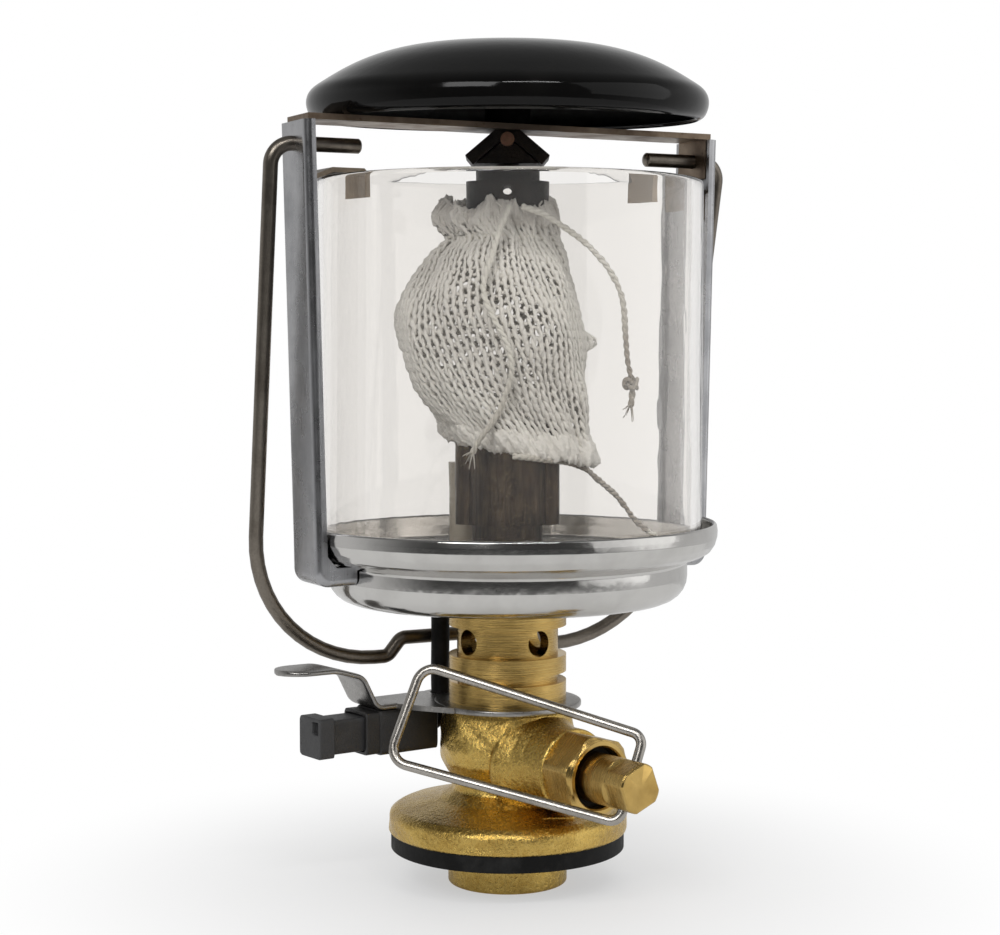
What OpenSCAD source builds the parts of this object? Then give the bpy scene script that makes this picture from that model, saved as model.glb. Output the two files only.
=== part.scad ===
// Butane lantern: a cartridge valve, a gas burner with a tied mantle under a glass globe, and a wire bail.
// The origin lies on the lantern's axis at the mouth of the cartridge thread.
// +Z is up, X runs through the uprights.

/* [Cartridge valve] */
// Diameter of the spigot under the flange
spigot_d = 21; // [19:0.5:24]
// Height of the spigot
spigot_h = 9.2; // [8:0.1:11]
// Minor diameter of the cartridge thread
thread_d = 10.2; // [9:0.1:11]
// Diameter of the flange
flange_d = 42; // [38:0.5:43]
// Thickness of the flange at its edge
flange_t = 3.5; // [3:0.1:4]
// Diameter of the neck above the flange
neck_d = 19.6; // [18:0.2:21]
// Diameter of the valve body
body_d = 23.8; // [23:0.2:24]
// Height from the flange's underside to the top of the body
valve_h = 22.2; // [21.5:0.1:23]
// Height of the tap's axis above the flange's underside
tap_rise = 13.4; // [13:0.1:14]
// Direction of the tap in plan
tap_angle = -81; // [-84:1:-78]
// Diameter of the arm that carries the tap
arm_d = 14.5; // [13.5:0.1:15]
// Reach of the arm from the axis
arm_len = 19; // [18:0.5:20]
// Diameter of the stud that enters the mixing tube
stud_d = 13; // [12:0.2:13.2]
// Diameter of the gas way
gas_way_d = 3; // [2.5:0.1:3.4]
// Outer diameter of the sealing washer
washer_d = 41.2; // [36:0.2:42]
// Thickness of the sealing washer
washer_t = 2.8; // [2:0.1:3.4]

/* [Tap] */
// Width across the flats of the gland nut
nut_af = 13; // [12.5:0.5:14]
// Length of the gland nut outside the arm
nut_len = 6.8; // [6:0.2:7.5]
// Diameter of the spindle
spindle_d = 8.4; // [8:0.1:8.8]
// Reach of the spindle from the lantern's axis
spindle_reach = 36.2; // [35.5:0.1:38]
// Wire diameter of the tap handle
handle_wire = 1.7; // [1.4:0.1:1.8]
// Mean length of the tap handle
handle_len = 40; // [38.5:0.1:40.6]
// Width of the tap handle at the spindle, between wire centres
handle_w = 14.8; // [14.6:0.1:15.6]
// Width of the tap handle at its far end
handle_end_w = 17; // [16:0.1:17.4]
// How much longer the lower wire is than the upper one
handle_slant = 1; // [0.5:0.1:2]
// How far the handle's middle stands above the tap's axis, along its pins
handle_shift = 1.1; // [0.6:0.1:1.1]
// Angle between the folded handle and the spindle
handle_fold = 40; // [39:1:44]
// Turn of the spindle at rest
tap_turn = 21; // [17:1:23]

/* [Igniter] */
// Thickness of the bracket's sheet
plate_t = 1; // [0.8:0.1:1.2]
// Diameter of the round part of the bracket
plate_d = 26; // [24:0.5:27]
// Direction of the igniter in plan, from the left-hand channel towards the tap
igniter_turn = 8; // [6:0.5:10]
// Distance of the igniter's centre line from the lantern's axis
igniter_off = 11.9; // [11.4:0.1:12.4]
// Width of the bracket's finger rest
rest_w = 9.2; // [8:0.2:10]
// Rise of the finger rest above the plate
rest_rise = 7.2; // [6.5:0.1:7.5]
// Reach of the finger rest along the igniter's line
rest_reach = 39.6; // [38.4:0.2:41]
// Width and height of the igniter body
igniter_w = 8; // [7.8:0.1:8.4]
// Reach of the igniter body's collar along the igniter's line
igniter_reach = 24.2; // [23.4:0.2:25]
// Width and height of the button's stem
stem_w = 6; // [5.6:0.1:6.2]
// Width and height of the button's head
head_w = 7; // [6.6:0.1:7.4]
// Thickness of the button's head
head_t = 3; // [2.6:0.1:3.6]
// Reach of the button along the igniter's line
button_reach = 33.4; // [33:0.1:34.6]
// Diameter of the ignition lead
lead_d = 3.3; // [3:0.1:3.4]
// Diameter of the ceramic insulator
insulator_d = 4.8; // [4.4:0.1:5]
// Wire diameter of the electrode
electrode_d = 1; // [0.8:0.1:1.2]

/* [Burner] */
// Diameter of the mixing tube's collars
tube_d = 20.7; // [20:0.1:21]
// Diameter of the mixing tube at its air holes
waist_d = 17.8; // [17:0.1:18.4]
// Length of the mixing tube below the pan
tube_len = 17.8; // [17.4:0.1:18.4]
// Diameter of the four air holes
air_hole_d = 4.5; // [3.5:0.1:4.8]
// Outer diameter of the burner tube
burner_d = 12.4; // [12:0.1:12.8]
// Wall of the burner tube
burner_wall = 1; // [0.8:0.1:1.2]
// Height of the burner tube's top above the pan's floor
burner_top = 31; // [30:0.5:33]
// Length of the winged sleeve on the burner tube
sleeve_len = 17; // [15:0.5:18]
// Width over the sleeve's two wings
sleeve_w = 18.4; // [17.5:0.1:18.8]
// Direction of the sleeve's wings in plan
sleeve_turn = -28; // [-40:1:0]

/* [Pan and glass] */
// Diameter of the pan's rim
rim_d = 73.4; // [72.5:0.2:75]
// Width of the step between the rim and the pan's lower wall
step_w = 5.2; // [4.9:0.1:5.6]
// Height of the pan
pan_h = 13.7; // [13:0.1:14.5]
// Height of the pan's step, on which the glass stands
step_h = 8; // [7.6:0.1:8.2]
// Thickness of the pan's sheet
pan_t = 0.8; // [0.6:0.1:1]
// Distance from the rim's outer edge to the glass
glass_inset = 2.7; // [2.5:0.1:3.2]
// Wall of the glass
glass_t = 2; // [1.5:0.1:2.4]
// Length of the glass
glass_len = 64.1; // [63.6:0.1:64.6]

/* [Frame] */
// Width of the two upright channels
upright_w = 11; // [10:0.2:12]
// Depth of the channels
upright_depth = 1.9; // [1.6:0.1:2]
// Sheet thickness of the channels
upright_t = 1; // [0.8:0.1:1.2]
// Length of the channels
upright_len = 77; // [76.5:0.1:78]
// How far a channel's outer face stands outside the rim at its foot
foot_proud = 1.6; // [1.4:0.1:2.2]
// Height of the feet under the pan's step
foot_h = 3.6; // [3:0.1:4]
// Outward lean of the channels
upright_lean = 1.4; // [1:0.1:1.6]
// Width of the strap across the top
strap_w = 9; // [8:0.2:9.6]
// Thickness of the strap
strap_t = 1; // [0.8:0.1:1.2]
// Length of the strap's turned-down ends
strap_tab = 7; // [6.2:0.1:8]
// Width of the two glass clips
clip_w = 8.6; // [8:0.2:9]
// Sheet thickness of the glass clips
clip_t = 0.8; // [0.6:0.1:1]
// Distance from the glass's outer face to the clips' inner lips
clip_hold = 5.6; // [4.6:0.1:7]
// Length of the clips' inner lips
clip_lip = 4.2; // [3:0.1:5]

/* [Lid] */
// Diameter of the lid
lid_d = 69.6; // [66:0.2:72]
// Height of the lid's upright side
lid_side = 4.4; // [3.5:0.1:5]
// Height of the dome above the side
lid_dome = 9; // [8:0.1:10]
// Wall of the lid
lid_t = 0.9; // [0.7:0.1:1.2]
// Gap between the strap and the lid's lower edge
lid_gap = 0.8; // [0.5:0.1:2]
// Diameter of the post between strap and lid
post_d = 8; // [6:0.5:10]

/* [Mantle] */
// Width of the heat deflector
deflector_w = 14; // [12:0.5:16]
// Length of the heat deflector along its ridge
deflector_len = 10; // [8:0.5:12]
// Sheet thickness of the heat deflector
deflector_t = 1.6; // [1.2:0.1:1.8]
// Direction of the heat deflector's ridge in plan
deflector_turn = 62; // [40:1:80]
// Diameter of the pin along the ridge
ridge_pin_d = 2.4; // [2:0.1:2.6]
// Diameter of the mantle holder's flange and collar
holder_d = 14.4; // [13.5:0.1:15]
// Drop of the mantle holder's lower edge below the strap
holder_drop = 14; // [13:0.1:14.5]
// Length of the mantle
mantle_len = 42.4; // [40:0.2:43]
// Wall of the mantle's soft bag
mantle_wall = 1.4; // [1:0.1:2]
// Diameter of the tie cords
tie_d = 1; // [0.8:0.1:1.2]

/* [Bail] */
// Wire diameter of the bail
bail_wire = 2.5; // [2:0.1:2.8]
// Distance from the channels' feet to the bail's legs
leg_proud = 5.5; // [4.8:0.1:6.6]
// Reach of the bail's lower bars from its pivot
bail_reach = 90.5; // [90:0.1:93]
// Rise of the bail's middle bar, as a share of the room between the lower bars and the pan
bail_rise = 0.293; // [0.24:0.01:0.32]
// Straight length of the bail's lower bars
bar_len = 2.1; // [1.6:0.1:5]
// Lean of the bail at rest
bail_lean = 10.3; // [10:0.1:12]
// Depth of the bail's pivot below the top of the channels
bail_drop = 3.6; // [3:0.1:4]

/* [Hidden] */
$fn = 64;
// Clearance of a fit, and of a part that turns or slides in another
fit = 0.05;
running = 0.05;
// Overlap that lets a cut break clean through a face
cut = 1;

pan_d = rim_d - 2 * step_w;
glass_d = rim_d - 2 * glass_inset;
foot_x = rim_d / 2 + foot_proud;
clip_lip_x = glass_d / 2 - clip_hold;
bail_leg_x = foot_x + leg_proud;

flange_z = spigot_h;
tap_z = flange_z + tap_rise;
valve_top = flange_z + valve_h;
plate_top = valve_top + plate_t;
stud_top = plate_top + 4.6;
tube_z = plate_top;
pan_z = tube_z + tube_len;
floor_z = pan_z + pan_t;
ledge_z = pan_z + step_h + pan_t;
glass_top = ledge_z + glass_len;
foot_z = pan_z + step_h - foot_h;
upright_top = foot_z + upright_len * cos(upright_lean);
pivot_z = upright_top - bail_drop;
strap_z = upright_top + 0.1;
strap_top = strap_z + strap_t;
lid_z = strap_top + lid_gap;
lid_r = lid_d / 2;
lid_under = lid_z + lid_side + lid_dome - lid_t;

// Cartridge mouth
seal_wire = 1.6;
seal_r = 3.4;
seal_seat = 2;
thread_depth = spigot_h - seal_seat - 0.2;
seal_top = thread_depth + seal_seat;
seal_bore_d = 2 * seal_r + seal_wire + 4 * fit;
depressor_d = gas_way_d - 0.6;

// Tap, measured along its own axis from the lantern's axis
stuffing_len = 4;
stuffing_d = arm_d - 3.4;
needle_tip = 2.5;
needle_seat = 5;
stem_bore_d = 6.1;
packing_seat = arm_len + 2.5;
packing_len = 1.8;
recess_d = 10.5;
hinge_reach = spindle_reach - 2.9;
cross_hole_d = handle_wire + 2 * running;
handle_end_gap = 1.8;
handle_corner = 3;
handle_elbow = 2;

// Mixing tube, heights above its lower end
groove_z = 3.6;
groove_h = 1.6;
groove_d = 17.6;
waist_z = 8.2;
waist_h = 5.1;
chamber_d = 13.6;
nipple_d = 16;
nipple_h = 6;
burner_seat = 14;
air_hole_turn = 10.5;
lock_nut_af = 18;
lock_nut_h = 3.2;

// Igniter, measured outwards along its own line, which passes beside the valve body
igniter_z = valve_top - igniter_w / 2;
igniter_in = sqrt(pow(body_d / 2, 2) - pow(igniter_off - igniter_w / 2, 2)) + 0.5;
collar_len = 2.7;
igniter_bore_end = igniter_in + 1.3;
stem_in = 20.4;
works_d = 4.4;
crystal_len = 4.3;
hammer_len = 2.9;
works_gap = 0.1;
button_travel = 4;
spring_wire = 0.7;
spring_turns = 5;
spring_in = igniter_bore_end + crystal_len + hammer_len + 3 * works_gap;
spring_len = 6.5;
// Bracket: start and run of the rest's steep rise, its knee below the pad, and the edge between plate and rest
rest_bend = 22.2;
rest_run = 3;
knee_run = 5.3;
knee_drop = 1.6;
gusset_reach = 18.4;
gusset_side = 2.3;

// Lead, ceramic and electrode
lead_x = -7.2;
lead_y = 12.2;
insulator_x = -2.8;
insulator_z = floor_z + 8;
insulator_len = 15.4;
insulator_top = insulator_z + insulator_len;
lead_ear_d = 6.6;
lead_straight = 0.8;
lead_route = [
    [each on_igniter(igniter_in), igniter_z], [each on_igniter(igniter_in - lead_straight), igniter_z],
    [-8.9, 10.9, igniter_z + 0.5], [-7.9, 11.5, igniter_z + 1.6], [-7.3, 12, igniter_z + 3],
    [lead_x, lead_y, plate_top], [lead_x, lead_y, pan_z - 9], [lead_x, lead_y, pan_z],
    [-6.8, lead_y, floor_z + 2.4], [-5, lead_y, floor_z + 5], [-3.3, lead_y, floor_z + 6.8],
    [insulator_x, lead_y, insulator_z - 0.9], [insulator_x, lead_y, insulator_z]
];
electrode_route = [
    [insulator_x, lead_y, insulator_top], [insulator_x, lead_y, insulator_top + 0.6],
    [-2.6, 11, 75.8], [-2.2, 9, 76.1], [-2, 8.2, 77], [-1.9, 8.2, 80]
];

// Pan and channels
rim_lean = 0.5;
rim_curl = 1.9;
pan_curl = 4.5;
pivot_d = bail_wire + 2 * running;
web_gap = 0.05;
clip_tail = 6;
foot_curl = 2.4;
foot_gap = 0.4;

// Deflector and mantle holder
holder_z = strap_z - holder_drop;
holder_collar = 4.4;
holder_neck_d = 11;
holder_neck = 1.3;
holder_flange = 0.8;
ridge_flat = 4.2;
ridge_z = strap_z - 0.05;
leg_drop = 4.2;
ridge_skin = 0.4;
ridge_pin_z = ridge_z - ridge_skin - ridge_pin_d / 2 - fit;
holder_stem_d = 4;
holder_hole_d = 1.6;

// Mantle stations from top to bottom: height share, centre across the view, radius
view_turn = -28;
mantle_top = holder_z + 1.9;
mantle_stations = [
    [0, -1.2, 10.2], [0.1, -2.2, 11.6], [0.24, -3.2, 13.5], [0.42, -3.4, 15.2], [0.58, -2.6, 15.6],
    [0.72, -1.8, 14.4], [0.84, -0.4, 13.2], [0.93, 0.8, 12.4], [1, 1.2, 11.8]
];
mantle_sides = 28;

// Tie cords, in part coordinates
tie_a_route = [
    [-2.8, -10.9, 117.5], [-0.2, -11.8, 116.6], [3.6, -12.4, 114.6], [7.6, -12.8, 112], [11.2, -13, 109],
    [13.8, -13.2, 105.6], [15, -13.6, 102.4], [15.4, -13.8, 98.8], [15.6, -14, 95.4], [16, -14.2, 91.4],
    [16.6, -14.4, 88], [16.4, -14.4, 84.6]
];
tie_b_route = [
    [-5.2, -10.4, 117.5], [-7.8, -11.6, 113.4], [-9.6, -12.2, 109], [-11.2, -12.6, 104], [-10.2, -13.6, 99.8],
    [-8.2, -14.6, 95.6], [-7, -14.8, 91.4], [-7.4, -13.2, 86.4], [-9.2, -11.2, 81.4], [-10.6, -9.6, 78.8],
    [-11.2, -8.8, 77]
];
tie_c_route = [
    [-4.8, -11.6, 76.3], [-2.2, -12.2, 76], [1.2, -12.2, 75.6], [4.6, -11.6, 75.2], [7.6, -10.6, 74.6],
    [10.4, -9.8, 73.6], [13.4, -9.2, 71.6], [16.6, -9, 69.2], [19.4, -9.2, 66.2], [22.2, -9.6, 63.4],
    [24, -10.4, 62]
];

// Bent wires: sides of the swept tube, rings at a bend, and its share of the round pins' diameter
wire_sides = 16;
wire_steps = 7;
wire_full = 0.95;
// Length of a round pin that the swept wire overlaps
pin_lap = 0.6;

// Bail, points in its own plane
bail_pin_in = foot_x - 10;
bail_elbow = 3.5;
bail_toe = 1.9;
jog_in = 13.4;
jog_out = 15.8;
jog_r = 1.8;
bail_corner = bail_leg_x - bail_toe - jog_out - bar_len;
bail_room = bail_reach * cos(bail_lean) - (pivot_z - pan_z);
bail_offset = bail_rise * bail_room;

// Plane geometry: unit direction, left normal, points of an arc
function unit(v) = v / norm(v);
function left(a, b) = let (d = unit(b - a)) [-d[1], d[0]];
function arc(c, r, a0, a1, n = 6) = [
    for (i = [0 : n]) let (a = a0 + (a1 - a0) * i / n) c + r * [cos(a), sin(a)]
];

// Outline of a bent sheet: a polyline and its copy set off to the left by the thickness
function mitre(p, i) =
    i == 0 ? left(p[0], p[1])
    : i == len(p) - 1 ? left(p[i - 1], p[i])
    : let (n0 = left(p[i - 1], p[i]), n1 = left(p[i], p[i + 1]), m = unit(n0 + n1)) m / (m * n1);
function sheet(p, t) = concat(p, [for (i = [len(p) - 1 : -1 : 0]) p[i] + t * mitre(p, i)]);

// Round tube swept along a route: one ring of points for each route point, set out from a reference direction
// that the route never follows
function tangent(p, i) = unit(p[min(i + 1, len(p) - 1)] - p[max(i - 1, 0)]);
function ring(p, i, r, sides, ref) =
    let (t = tangent(p, i), s = unit(cross(t, ref)), u = cross(s, t))
    [for (k = [0 : sides - 1]) p[i] + r * (cos(360 * k / sides) * s + sin(360 * k / sides) * u)];
function side_faces(rings, sides) = [
    for (i = [0 : rings - 2], k = [0 : sides - 1])
    let (a = i * sides + k, b = i * sides + (k + 1) % sides)
    each [[a, b, a + sides], [b, b + sides, a + sides]]
];
function cap(first, sides, flip) =
    [for (k = [1 : sides - 2]) flip ? [first, first + k + 1, first + k] : [first, first + k, first + k + 1]];

module swept_tube(p, d, ref, sides = 8) {
    n = len(p);
    polyhedron(
        [for (i = [0 : n - 1]) each ring(p, i, d / 2, sides, ref)],
        concat(side_faces(n, sides), cap(0, sides, true), cap((n - 1) * sides, sides, false))
    );
}

// Centre line of a wire bent in the XY plane, with an arc of its own radius at each inner point
function bend(p, i, r, steps) =
    let (
        a = unit(p[i] - p[i - 1]), b = unit(p[i + 1] - p[i]),
        turn = atan2(a[0] * b[1] - a[1] * b[0], a * b), side = sign(turn),
        centre = p[i] - a * r * tan(abs(turn) / 2) + side * r * [-a[1], a[0]],
        start = atan2(a[1], a[0]) - 90 * side
    )
    [for (q = arc(centre, r, start, start + turn, steps)) [q[0], q[1], 0]];
function wire_route(p, radii, steps) = concat(
    [[p[0][0], p[0][1], 0]],
    [for (i = [1 : len(p) - 2]) each bend(p, i, radii[i - 1], steps)],
    [[p[len(p) - 1][0], p[len(p) - 1][1], 0]]
);
module bent_wire(p, radii, d) {
    swept_tube(wire_route(p, radii, wire_steps), wire_full * d, [0, 0, 1], wire_sides);
}

// Frames: along the tap with the spindle's turn, along the igniter, and standing with a leaning channel
module along_tap(turn = 0) {
    translate([0, 0, tap_z]) rotate([0, 0, tap_angle]) rotate([-turn, 0, 0]) children();
}
module rod(x, d, h) { translate([x, 0, 0]) rotate([0, 90, 0]) cylinder(d = d, h = h); }
module beside_axis() { rotate([0, 0, 180 + igniter_turn]) translate([0, -igniter_off, 0]) children(); }
module along_igniter() { translate([0, 0, igniter_z]) beside_axis() children(); }
function on_igniter(x) =
    let (c = cos(igniter_turn), s = sin(igniter_turn)) [-x * c - igniter_off * s, igniter_off * c - x * s];
module bar(x0, x1, w) { translate([x0, -w / 2, -w / 2]) cube([x1 - x0, w, w]); }
module at_foot() { translate([foot_x, 0, foot_z]) rotate([0, upright_lean, 0]) children(); }
module across(w) { rotate([90, 0, 0]) translate([0, 0, -w / 2]) linear_extrude(w) children(); }
module pivot_hole() { translate([0, 0, pivot_z]) rotate([0, 90, 0]) cylinder(d = pivot_d, h = 60); }

module valve_body() {
    spigot_r = spigot_d / 2;
    flange_r = flange_d / 2;
    neck_r = neck_d / 2;
    body_r = body_d / 2;
    stud_r = stud_d / 2;
    top = flange_z + flange_t;
    profile = [
        [0, 0], [spigot_r, 0], [spigot_r, flange_z], [flange_r, flange_z], [flange_r, top],
        [flange_r - 1, top + 0.4], [neck_r + 2.2, top + 1.9], [neck_r, top + 3.5],
        [body_r, tap_z - 0.6], [body_r, tap_z + 4.4], [body_r - 0.7, valve_top],
        [stud_r, valve_top], [stud_r, stud_top], [0, stud_top]
    ];
    color("darkgoldenrod") difference() {
        union() {
            rotate_extrude() polygon(profile);
            along_tap() rod(0, arm_d, arm_len);
        }
        translate([0, 0, -cut]) cylinder(d = thread_d, h = thread_depth + cut);
        cylinder(d = seal_bore_d, h = seal_top);
        cylinder(d = gas_way_d, h = stud_top + cut);
        translate([0, 0, stud_top - 5]) cylinder(d = 6.1, h = 5 + cut);
        along_tap() rod(0, 2 * needle_tip, needle_seat);
        along_tap() rod(needle_seat - 1, stem_bore_d, arm_len);
        along_tap() rod(arm_len - stuffing_len, stuffing_d, stuffing_len + cut);
    }
}

module seal_washer() {
    color("dimgray") translate([0, 0, flange_z - washer_t]) difference() {
        cylinder(d = washer_d, h = washer_t);
        translate([0, 0, -cut]) cylinder(d = spigot_d + 2 * fit, h = washer_t + 2 * cut);
    }
}

module inlet_seal() {
    color("black") translate([0, 0, seal_top - seal_wire / 2 - fit])
        rotate_extrude() translate([seal_r, 0]) circle(d = seal_wire, $fn = 32);
}

module depressor_pin() {
    head_d = 2 * seal_r - seal_wire - 0.4;
    color("silver") union() {
        translate([0, 0, thread_depth + 0.2]) cylinder(d = depressor_d, h = seal_seat + 4);
        translate([0, 0, seal_top - 1]) cylinder(d = head_d, h = 1);
    }
}

module inlet_filter() {
    color("tan") translate([0, 0, seal_top + 5]) cylinder(d = gas_way_d - 2 * fit, h = 2);
}

module gland_nut() {
    color("gold") difference() {
        union() {
            along_tap() rotate([30, 0, 0]) translate([arm_len, 0, 0]) rotate([0, 90, 0])
                cylinder(d = nut_af / cos(30), h = nut_len, $fn = 6);
            along_tap() rod(arm_len - stuffing_len + fit, stuffing_d - 2 * fit, stuffing_len);
        }
        along_tap() rod(0, spindle_d + 2 * running, arm_len + nut_len + cut);
        along_tap() rod(packing_seat, recess_d, nut_len + cut);
    }
}

module gland_packing() {
    color("black") along_tap() difference() {
        rod(packing_seat, recess_d - 2 * fit, packing_len);
        rod(packing_seat - cut, spindle_d + 2 * running, packing_len + 2 * cut);
    }
}

module valve_spindle() {
    inner_d = stem_bore_d - 2 * running;
    shoulder = arm_len - stuffing_len + 0.4;
    chamfer = 0.6;
    color("goldenrod") along_tap(tap_turn) difference() {
        union() {
            translate([needle_tip, 0, 0]) rotate([0, 90, 0])
                cylinder(d1 = 1, d2 = 4, h = needle_seat - needle_tip);
            rod(needle_seat, inner_d, shoulder - needle_seat);
            rod(shoulder, spindle_d, spindle_reach - shoulder - chamfer);
            translate([spindle_reach - chamfer, 0, 0]) rotate([0, 90, 0])
                cylinder(d1 = spindle_d, d2 = spindle_d - 2 * chamfer, h = chamfer);
        }
        translate([hinge_reach, 0, -spindle_d]) cylinder(d = cross_hole_d, h = 2 * spindle_d);
    }
}

module valve_handle() {
    half = handle_w / 2;
    end = handle_end_w / 2;
    long = handle_len + handle_slant / 2;
    short = handle_len - handle_slant / 2;
    pin_end = half - handle_elbow;
    path = [
        [0, pin_end - pin_lap], [0, half], [short, end], [long, -end], [0, -half], [0, pin_lap - pin_end]
    ];
    color("lightgray") along_tap(tap_turn) translate([hinge_reach, 0, handle_shift]) union() {
        rotate([90, 0, 180 + handle_fold])
            bent_wire(path, [handle_elbow, handle_corner, handle_corner, handle_elbow], handle_wire);
        for (s = [0, 1]) mirror([0, 0, s])
            translate([0, 0, handle_end_gap / 2]) cylinder(d = handle_wire, h = pin_end - handle_end_gap / 2);
    }
}

// Bracket: a round plate, an ear for the lead, and a strip along the igniter that rises to a finger rest
module igniter_bracket() {
    end_r = rest_w / 2;
    pad_z = valve_top + rest_rise;
    ear_x = -lead_x * cos(igniter_turn) - lead_y * sin(igniter_turn);
    knee_x = rest_bend + rest_run;
    path = [
        [ear_x, valve_top], [rest_bend, valve_top], [knee_x, pad_z - knee_drop], [knee_x + knee_run, pad_z],
        [rest_reach - end_r, pad_z]
    ];
    gusset = [
        [ear_x, 0], [gusset_reach, 0], [gusset_reach, end_r], [plate_d / 2, igniter_off + gusset_side],
        [0, igniter_off]
    ];
    color("silver") difference() {
        union() {
            translate([0, 0, valve_top]) cylinder(d = plate_d, h = plate_t);
            beside_axis() across(rest_w) polygon(sheet(path, plate_t));
            beside_axis() translate([0, 0, valve_top]) linear_extrude(plate_t) polygon(gusset);
            beside_axis() translate([rest_reach - end_r, 0, pad_z]) cylinder(r = end_r, h = plate_t);
            translate([lead_x, lead_y, valve_top]) cylinder(d = lead_ear_d, h = plate_t);
        }
        translate([0, 0, valve_top - cut]) cylinder(d = stud_d + 2 * fit, h = plate_t + 2 * cut);
        translate([lead_x, lead_y, valve_top - cut]) cylinder(d = lead_d + 0.5, h = plate_t + 2 * cut);
    }
}

module igniter_body() {
    bore_w = stem_w + 0.4;
    collar_w = igniter_w - 0.5;
    color("dimgray") along_igniter() difference() {
        union() {
            bar(igniter_in, igniter_reach - collar_len, igniter_w);
            bar(igniter_reach - collar_len, igniter_reach, collar_w);
        }
        bar(igniter_bore_end, igniter_reach + cut, bore_w);
    }
}

module igniter_crystal() {
    color("gray") along_igniter() rod(igniter_bore_end + works_gap, works_d, crystal_len);
}

module igniter_hammer() {
    color("silver") along_igniter() rod(igniter_bore_end + crystal_len + 2 * works_gap, works_d, hammer_len);
}

module hammer_spring() {
    r = works_d / 2 - spring_wire / 2;
    steps = 8 * spring_turns;
    coil = [for (i = [0 : steps]) let (a = 360 * i / 8)
        [spring_in + spring_wire / 2 + (spring_len - spring_wire) * i / steps, r * cos(a), r * sin(a)]];
    color("silver") along_igniter() swept_tube(coil, spring_wire, [1, 0, 0], 6);
}

module igniter_button() {
    recess = 4.2;
    color("gray") along_igniter() difference() {
        union() {
            bar(stem_in, button_reach - head_t, stem_w);
            bar(button_reach - head_t, button_reach, head_w);
        }
        rod(stem_in - cut, works_d + 0.6, spring_in + spring_len + button_travel + 0.5 - stem_in + cut);
        bar(button_reach - 0.4, button_reach + cut, recess);
    }
}

module ignition_lead() {
    color("black") swept_tube(lead_route, lead_d, [1, -1, 0]);
}

module electrode_insulator() {
    color("ivory") translate([insulator_x, lead_y, insulator_z]) cylinder(d = insulator_d, h = insulator_len);
}

module electrode_wire() {
    color("dimgray") swept_tube(electrode_route, electrode_d, [1, 0, 0]);
}

module mixing_tube() {
    tube_r = tube_d / 2;
    groove_r = groove_d / 2;
    waist_r = waist_d / 2;
    profile = [
        [0, 0], [tube_r, 0], [tube_r, groove_z], [groove_r, groove_z], [groove_r, groove_z + groove_h],
        [tube_r, groove_z + groove_h], [tube_r, waist_z], [waist_r, waist_z], [waist_r, waist_z + waist_h],
        [tube_r, waist_z + waist_h], [tube_r, tube_len], [nipple_d / 2, tube_len],
        [nipple_d / 2, tube_len + nipple_h], [0, tube_len + nipple_h]
    ];
    color("gold") translate([0, 0, tube_z]) difference() {
        rotate_extrude() polygon(profile);
        translate([0, 0, -cut]) cylinder(d = stud_d + 2 * fit, h = waist_z - 1 + cut);
        translate([0, 0, waist_z - 1.4]) cylinder(d = chamber_d, h = waist_h + 1.2);
        cylinder(d = burner_d - 2 * burner_wall, h = burner_seat + cut);
        translate([0, 0, burner_seat]) cylinder(d = burner_d + 2 * fit, h = tube_len + nipple_h);
        for (k = [0 : 3])
            translate([0, 0, waist_z + waist_h / 2])
                rotate([0, 90, air_hole_turn + 90 * k])
                    cylinder(d = air_hole_d, h = tube_d);
    }
}

module jet() {
    color("goldenrod") difference() {
        union() {
            translate([0, 0, stud_top - 4.9]) cylinder(d = 6, h = 5);
            translate([0, 0, stud_top]) cylinder(d = 7 / cos(30), h = 2.6, $fn = 6);
            translate([0, 0, stud_top + 2.6]) cylinder(d1 = 5, d2 = 3, h = 1.6);
        }
        translate([0, 0, stud_top - 4.9 - cut]) cylinder(d = 1.6, h = 8);
        translate([0, 0, stud_top]) cylinder(d = 0.6, h = 6);
    }
}

module burner_tube() {
    base = tube_z + burner_seat;
    len = pan_z + burner_top - base;
    color("sienna") translate([0, 0, base]) difference() {
        cylinder(d = burner_d, h = len);
        translate([0, 0, -cut]) cylinder(d = burner_d - 2 * burner_wall, h = len + 2 * cut);
    }
}

module burner_gauze() {
    color("gray") translate([0, 0, pan_z + burner_top - 2])
        cylinder(d = burner_d - 2 * burner_wall - 2 * fit, h = 1);
}

module burner_sleeve() {
    ring_d = burner_d + 1.6;
    wing_t = 4.6;
    base = pan_z + burner_top - sleeve_len;
    color("saddlebrown") translate([0, 0, base]) rotate([0, 0, sleeve_turn]) difference() {
        union() {
            cylinder(d = ring_d, h = sleeve_len);
            translate([wing_t / 2 - sleeve_w / 2, -wing_t / 2, 0])
                cube([sleeve_w - wing_t, wing_t, sleeve_len]);
            for (s = [-1, 1])
                translate([s * (sleeve_w - wing_t) / 2, 0, 0]) cylinder(d = wing_t, h = sleeve_len);
        }
        translate([0, 0, -cut]) cylinder(d = burner_d + 2 * fit, h = sleeve_len + 2 * cut);
    }
}

module base_pan() {
    wall_r = pan_d / 2;
    rim_r = rim_d / 2 - rim_lean;
    profile = concat(
        [[nipple_d / 2 + fit, 0]],
        arc([wall_r - pan_curl, pan_curl], pan_curl, -90, 0),
        [[wall_r, step_h]],
        arc([rim_r - rim_curl, step_h + rim_curl], rim_curl, -90, 0),
        [[rim_d / 2, pan_h]]
    );
    color("lightsteelblue") translate([0, 0, pan_z]) difference() {
        rotate_extrude() polygon(sheet(profile, pan_t));
        translate([lead_x, lead_y, -cut]) cylinder(d = lead_d + 0.4, h = pan_t + 2 * cut);
    }
}

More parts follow.
